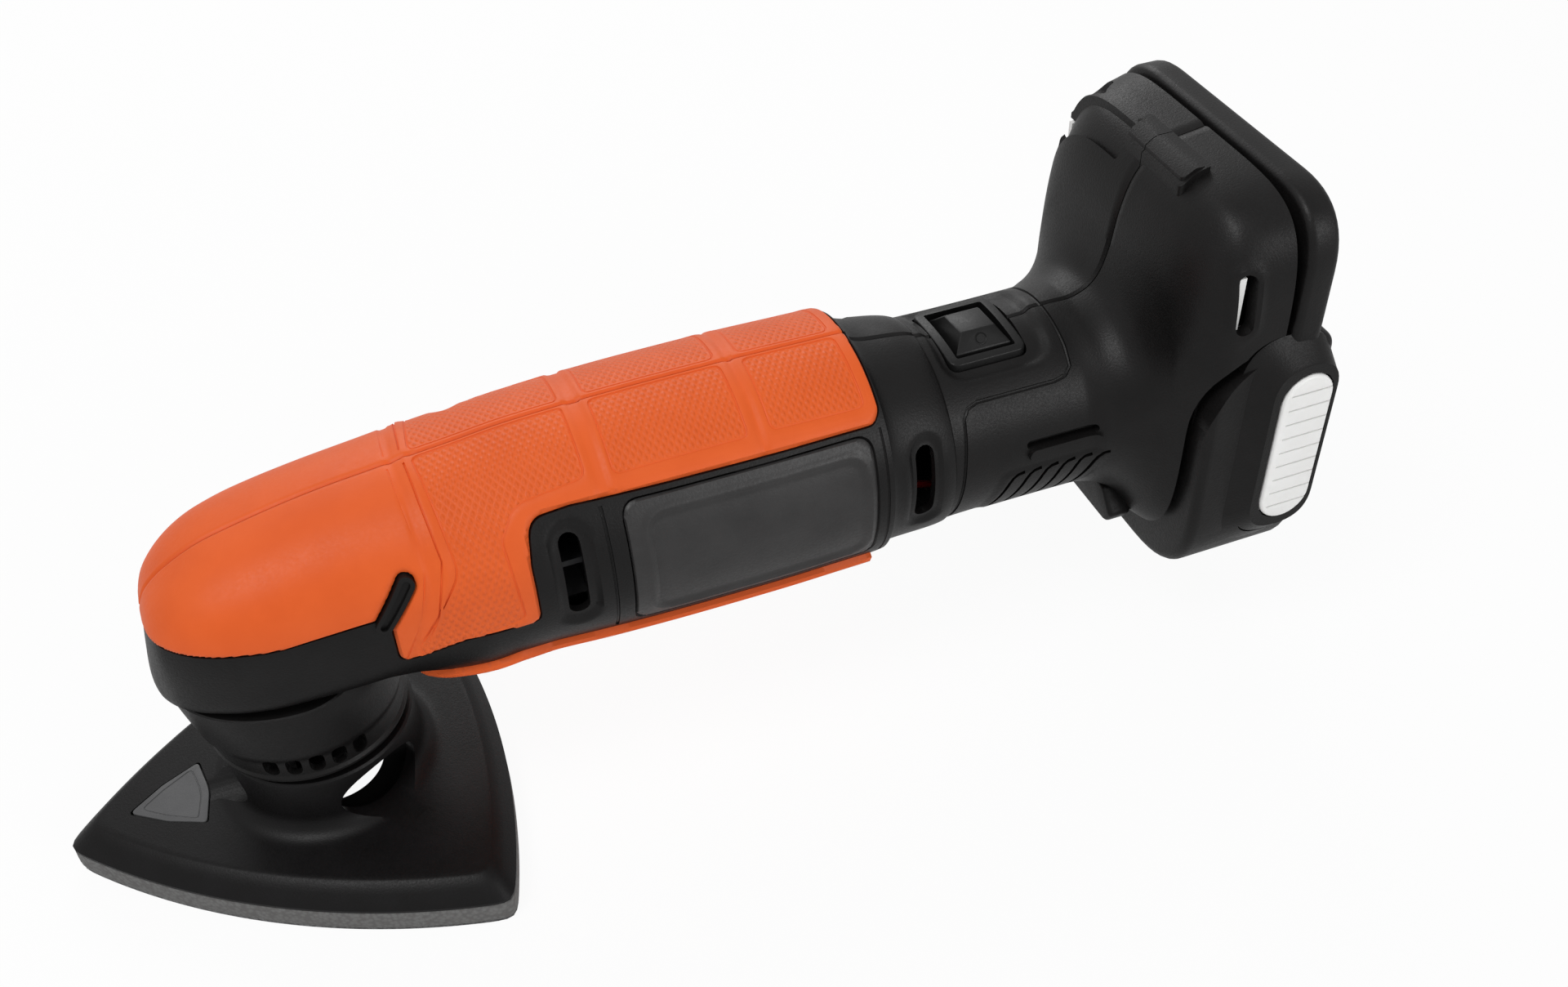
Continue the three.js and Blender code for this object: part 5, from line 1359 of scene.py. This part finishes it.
# %% Battery case
def make_case():
    slab, _, _, lobe = pack_outlines(0)
    case = new_object("battery_shell", prism(slab, "x", SLAB_FRONT, SLAB_REAR, 1.7, 4))
    face = rounded(BUTTON_X - 8, PACK_REAR - 0.3, BUTTON_Z - BUTTON_H / 2 - 2.4, BUTTON_Z + BUTTON_H / 2 + 2.4, 8, 11)
    levels = [(lobe, 24), (lobe, LOBE_Y - 4.6), (mix(lobe, face, 0.93), LOBE_Y - 0.5), (face, LOBE_Y)]
    boolean(case, [pack_block(0, 2.6), *[one_side(stacked(levels), side) for _, side in SIDES]], "UNION")
    w = PACK_WALL
    lobe_room = rounded(LOBE_FRONT + w, PACK_REAR - w, LOBE_BOTTOM + w, PACK_TOP - w, 8)
    tongue_slot = rounded(191.2, 194.8, PACK_TOP - 6, PACK_TOP + 3, 0.5)
    boolean(case, [
        prism(pill(BUTTON_X, BUTTON_Z, BUTTON_W + 0.8, BUTTON_H + 0.8), "y", -60, 60),
        pack_block(-w),
        prism(lobe_room, "y", -LOBE_Y + w, LOBE_Y - w),
        prism(rounded(-27.7, 27.7, 40, 95, 4), "x", 185.3, SLAB_REAR - w),
        *[side_prism(tongue_slot, 31.2, 33.8, side) for _, side in SIDES],
    ])
    return finish_piece(case, "battery", ABS_BLACK, "battery_case", 28)


make_case()

# %% [markdown]
# ## Release buttons
# White acetal, a pill with nine fine grooves. A tongue climbs from it behind the
# foot's slot, where a little of the white shows.

# %% Buttons
BUTTON_GROOVES = 9
BUTTON_BACK = LOBE_Y - 6.8


def make_button(word, side):
    x, z = BUTTON_X, BUTTON_Z
    cap = prism(pill(x, z, BUTTON_W, BUTTON_H, steps=17), "y", BUTTON_BACK, LOBE_Y + 0.6, 0.7, 3)
    button = new_object(f"{word}_push_button", one_side(cap, side))
    flange = rounded(x - 8.6, PACK_REAR - PACK_WALL - CLEAR, z - 20.6, z + 20.6, 5)
    tongue = outline([
        (192, z + 15), (194, z + 15), (194, 89.2), (187.7, 89.2), (187.7, 101.5), (186.2, 101.5), (186.2, 87.6),
        (192, 87.6),
    ])
    boolean(button, [
        side_prism(flange, BUTTON_BACK, LOBE_Y - PACK_WALL - CLEAR, side),
        side_prism(rounded(192, x, z + 15, z + 19, 0.4), 31.9, LOBE_Y - 5.4, side),
        side_prism(tongue, 31.9, 33.1, side),
    ], "UNION")
    heights = [z + (k / (BUTTON_GROOVES - 1) - 0.5) * (BUTTON_H - 8) for k in range(BUTTON_GROOVES)]
    lines = [rounded(x - BUTTON_W / 2 + 1.5, x + BUTTON_W, at - 0.22, at + 0.22, 0.05) for at in heights]
    boolean(button, [side_prism(line, LOBE_Y - 0.1, LOBE_Y + 3, side) for line in lines])
    return finish_piece(button, f"{word}_button", POM_WHITE, f"{word}_release_button")


for word, side in SIDES:
    make_button(word, side)

# %% [markdown]
# ## What stays from the model
# Gears, bearings, motor, cells, board, springs and leads keep their own meshes.
# Each takes the finish of the slot that the record gives it.

# %% Finishes of the kept nodes
SLOT_FINISH = {
    "screw_steel": DARK_STEEL, "switch_black": ABS_SMOOTH, "cast_alloy": CAST_ALLOY, "bearing_steel": BEARING_STEEL,
    "ground_steel": GROUND_STEEL, "gear_brass": GEAR_BRASS, "dark_steel": IRON, "fan_plastic": NYLON_BLACK,
    "motor_steel": DRAWN_STEEL, "copper": COPPER, "black_rubber": RUBBER, "battery_black": ABS_BLACK,
    "cell_blue": SLEEVE_BLUE, "board_green": SOLDER_MASK, "red_lead": PVC_RED,
}
slots = {part["node"]: part["material_slot"] for part in frame["record"]["subparts"]}
kept = 0
for name, node in frame["nodes"].items():
    if node.hide_render:
        continue
    node.data.materials.clear()
    node.data.materials.append(SLOT_FINISH[slots[name]])
    kept += 1
for word, side in SIDES:
    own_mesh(frame["nodes"][f"{word}_button_spring"])
print(kept, "nodes keep their mesh")

# %% [markdown]
# ## Room, lights and camera

# %% Floor, lights and camera
MIRRORED = 0.62  # strength of the white room in reflections


def brightest(tree, one, other):
    return add(tree, "ShaderNodeMath", {"operation": "MAXIMUM"}, i0=one, i1=other).outputs[0]


def studio():
    floor_bm = bmesh.new()
    bmesh.ops.create_grid(floor_bm, x_segments=1, y_segments=1, size=6000)
    floor = new_object("floor", floor_bm)
    paper = bpy.data.materials.new("paper_floor")
    paper.use_nodes = True
    tree = paper.node_tree
    tree.nodes.clear()
    rays = add(tree, "ShaderNodeLightPath")
    seen = brightest(tree, rays.outputs["Is Camera Ray"], rays.outputs["Is Glossy Ray"])
    seen = brightest(tree, seen, rays.outputs["Is Transmission Ray"])
    share = add(tree, "ShaderNodeMath", {"operation": "MULTIPLY"}, i0=seen, i1=0.93)
    lit = add(tree, "ShaderNodeBsdfDiffuse", Color=rgba("f4f4f4"))
    level = add(tree, "ShaderNodeMapRange", Value=rays.outputs["Is Glossy Ray"], i1=0.0, i2=1.0, i3=1.0, i4=MIRRORED)
    white = add(tree, "ShaderNodeEmission", Color=rgba("ffffff"), Strength=level.outputs[0])
    blend = add(tree, "ShaderNodeMixShader", i0=share.outputs[0], i1=lit.outputs[0], i2=white.outputs[0])
    add(tree, "ShaderNodeOutputMaterial", Surface=blend.outputs[0])
    floor.data.materials.append(paper)


studio()


def soft_box(name, place, aim, size, power):
    light = bpy.data.lights.new(name, "AREA")
    light.shape, light.size, light.size_y, light.energy = "RECTANGLE", size[0], size[1], power
    holder = bpy.data.objects.new(name, light)
    holder.location = place
    holder.rotation_euler = (Vector(aim) - Vector(place)).to_track_quat("-Z", "Y").to_euler()
    bpy.context.scene.collection.objects.link(holder)


soft_box("key_box", (-0.45, -0.25, 0.95), (0, 0, 0.05), (0.42, 0.42), 4.4)
soft_box("fill_box", (0.5, -0.8, 0.45), (0.02, 0, 0.06), (0.45, 0.4), 2.6)
soft_box("rim_box", (0.1, 0.8, 0.55), (0.02, 0, 0.07), (0.7, 0.28), 2.6)

world = bpy.data.worlds.new("studio")
world.use_nodes = True
bpy.context.scene.world = world
tree = world.node_tree
tree.nodes.clear()
rays = add(tree, "ShaderNodeLightPath")
seen = brightest(tree, rays.outputs["Is Camera Ray"], rays.outputs["Is Transmission Ray"])
level = add(tree, "ShaderNodeMapRange", Value=rays.outputs["Is Glossy Ray"], i1=0.0, i2=1.0, i3=0.35, i4=MIRRORED)
strength = brightest(tree, seen, level.outputs[0])
sky = add(tree, "ShaderNodeBackground", Color=rgba("ffffff"), Strength=strength)
add(tree, "ShaderNodeOutputWorld", Surface=sky.outputs[0])

CAMERA = to_frame(16.9, -239.9, 277.3)
HEADING, DOWN, ROLL = math.radians(19.94), math.radians(42.0), math.radians(2.03)
forward = Vector((math.sin(HEADING) * math.cos(DOWN), math.cos(HEADING) * math.cos(DOWN), -math.sin(DOWN)))
camera = bpy.data.objects.new("camera", bpy.data.cameras.new("camera"))
camera.data.lens, camera.data.sensor_width = 37.05, 36
camera.data.shift_x, camera.data.shift_y = 0.003, 0.0028
camera.data.clip_start = 0.01
aimed = Matrix.Rotation(ROLL, 3, forward) @ forward.to_track_quat("-Z", "Y").to_matrix()
camera.matrix_world = Matrix.Translation(CAMERA) @ aimed.to_4x4()
bpy.context.scene.collection.objects.link(camera)
bpy.context.scene.camera = camera
bpy.context.scene.view_settings.view_transform = "Standard"
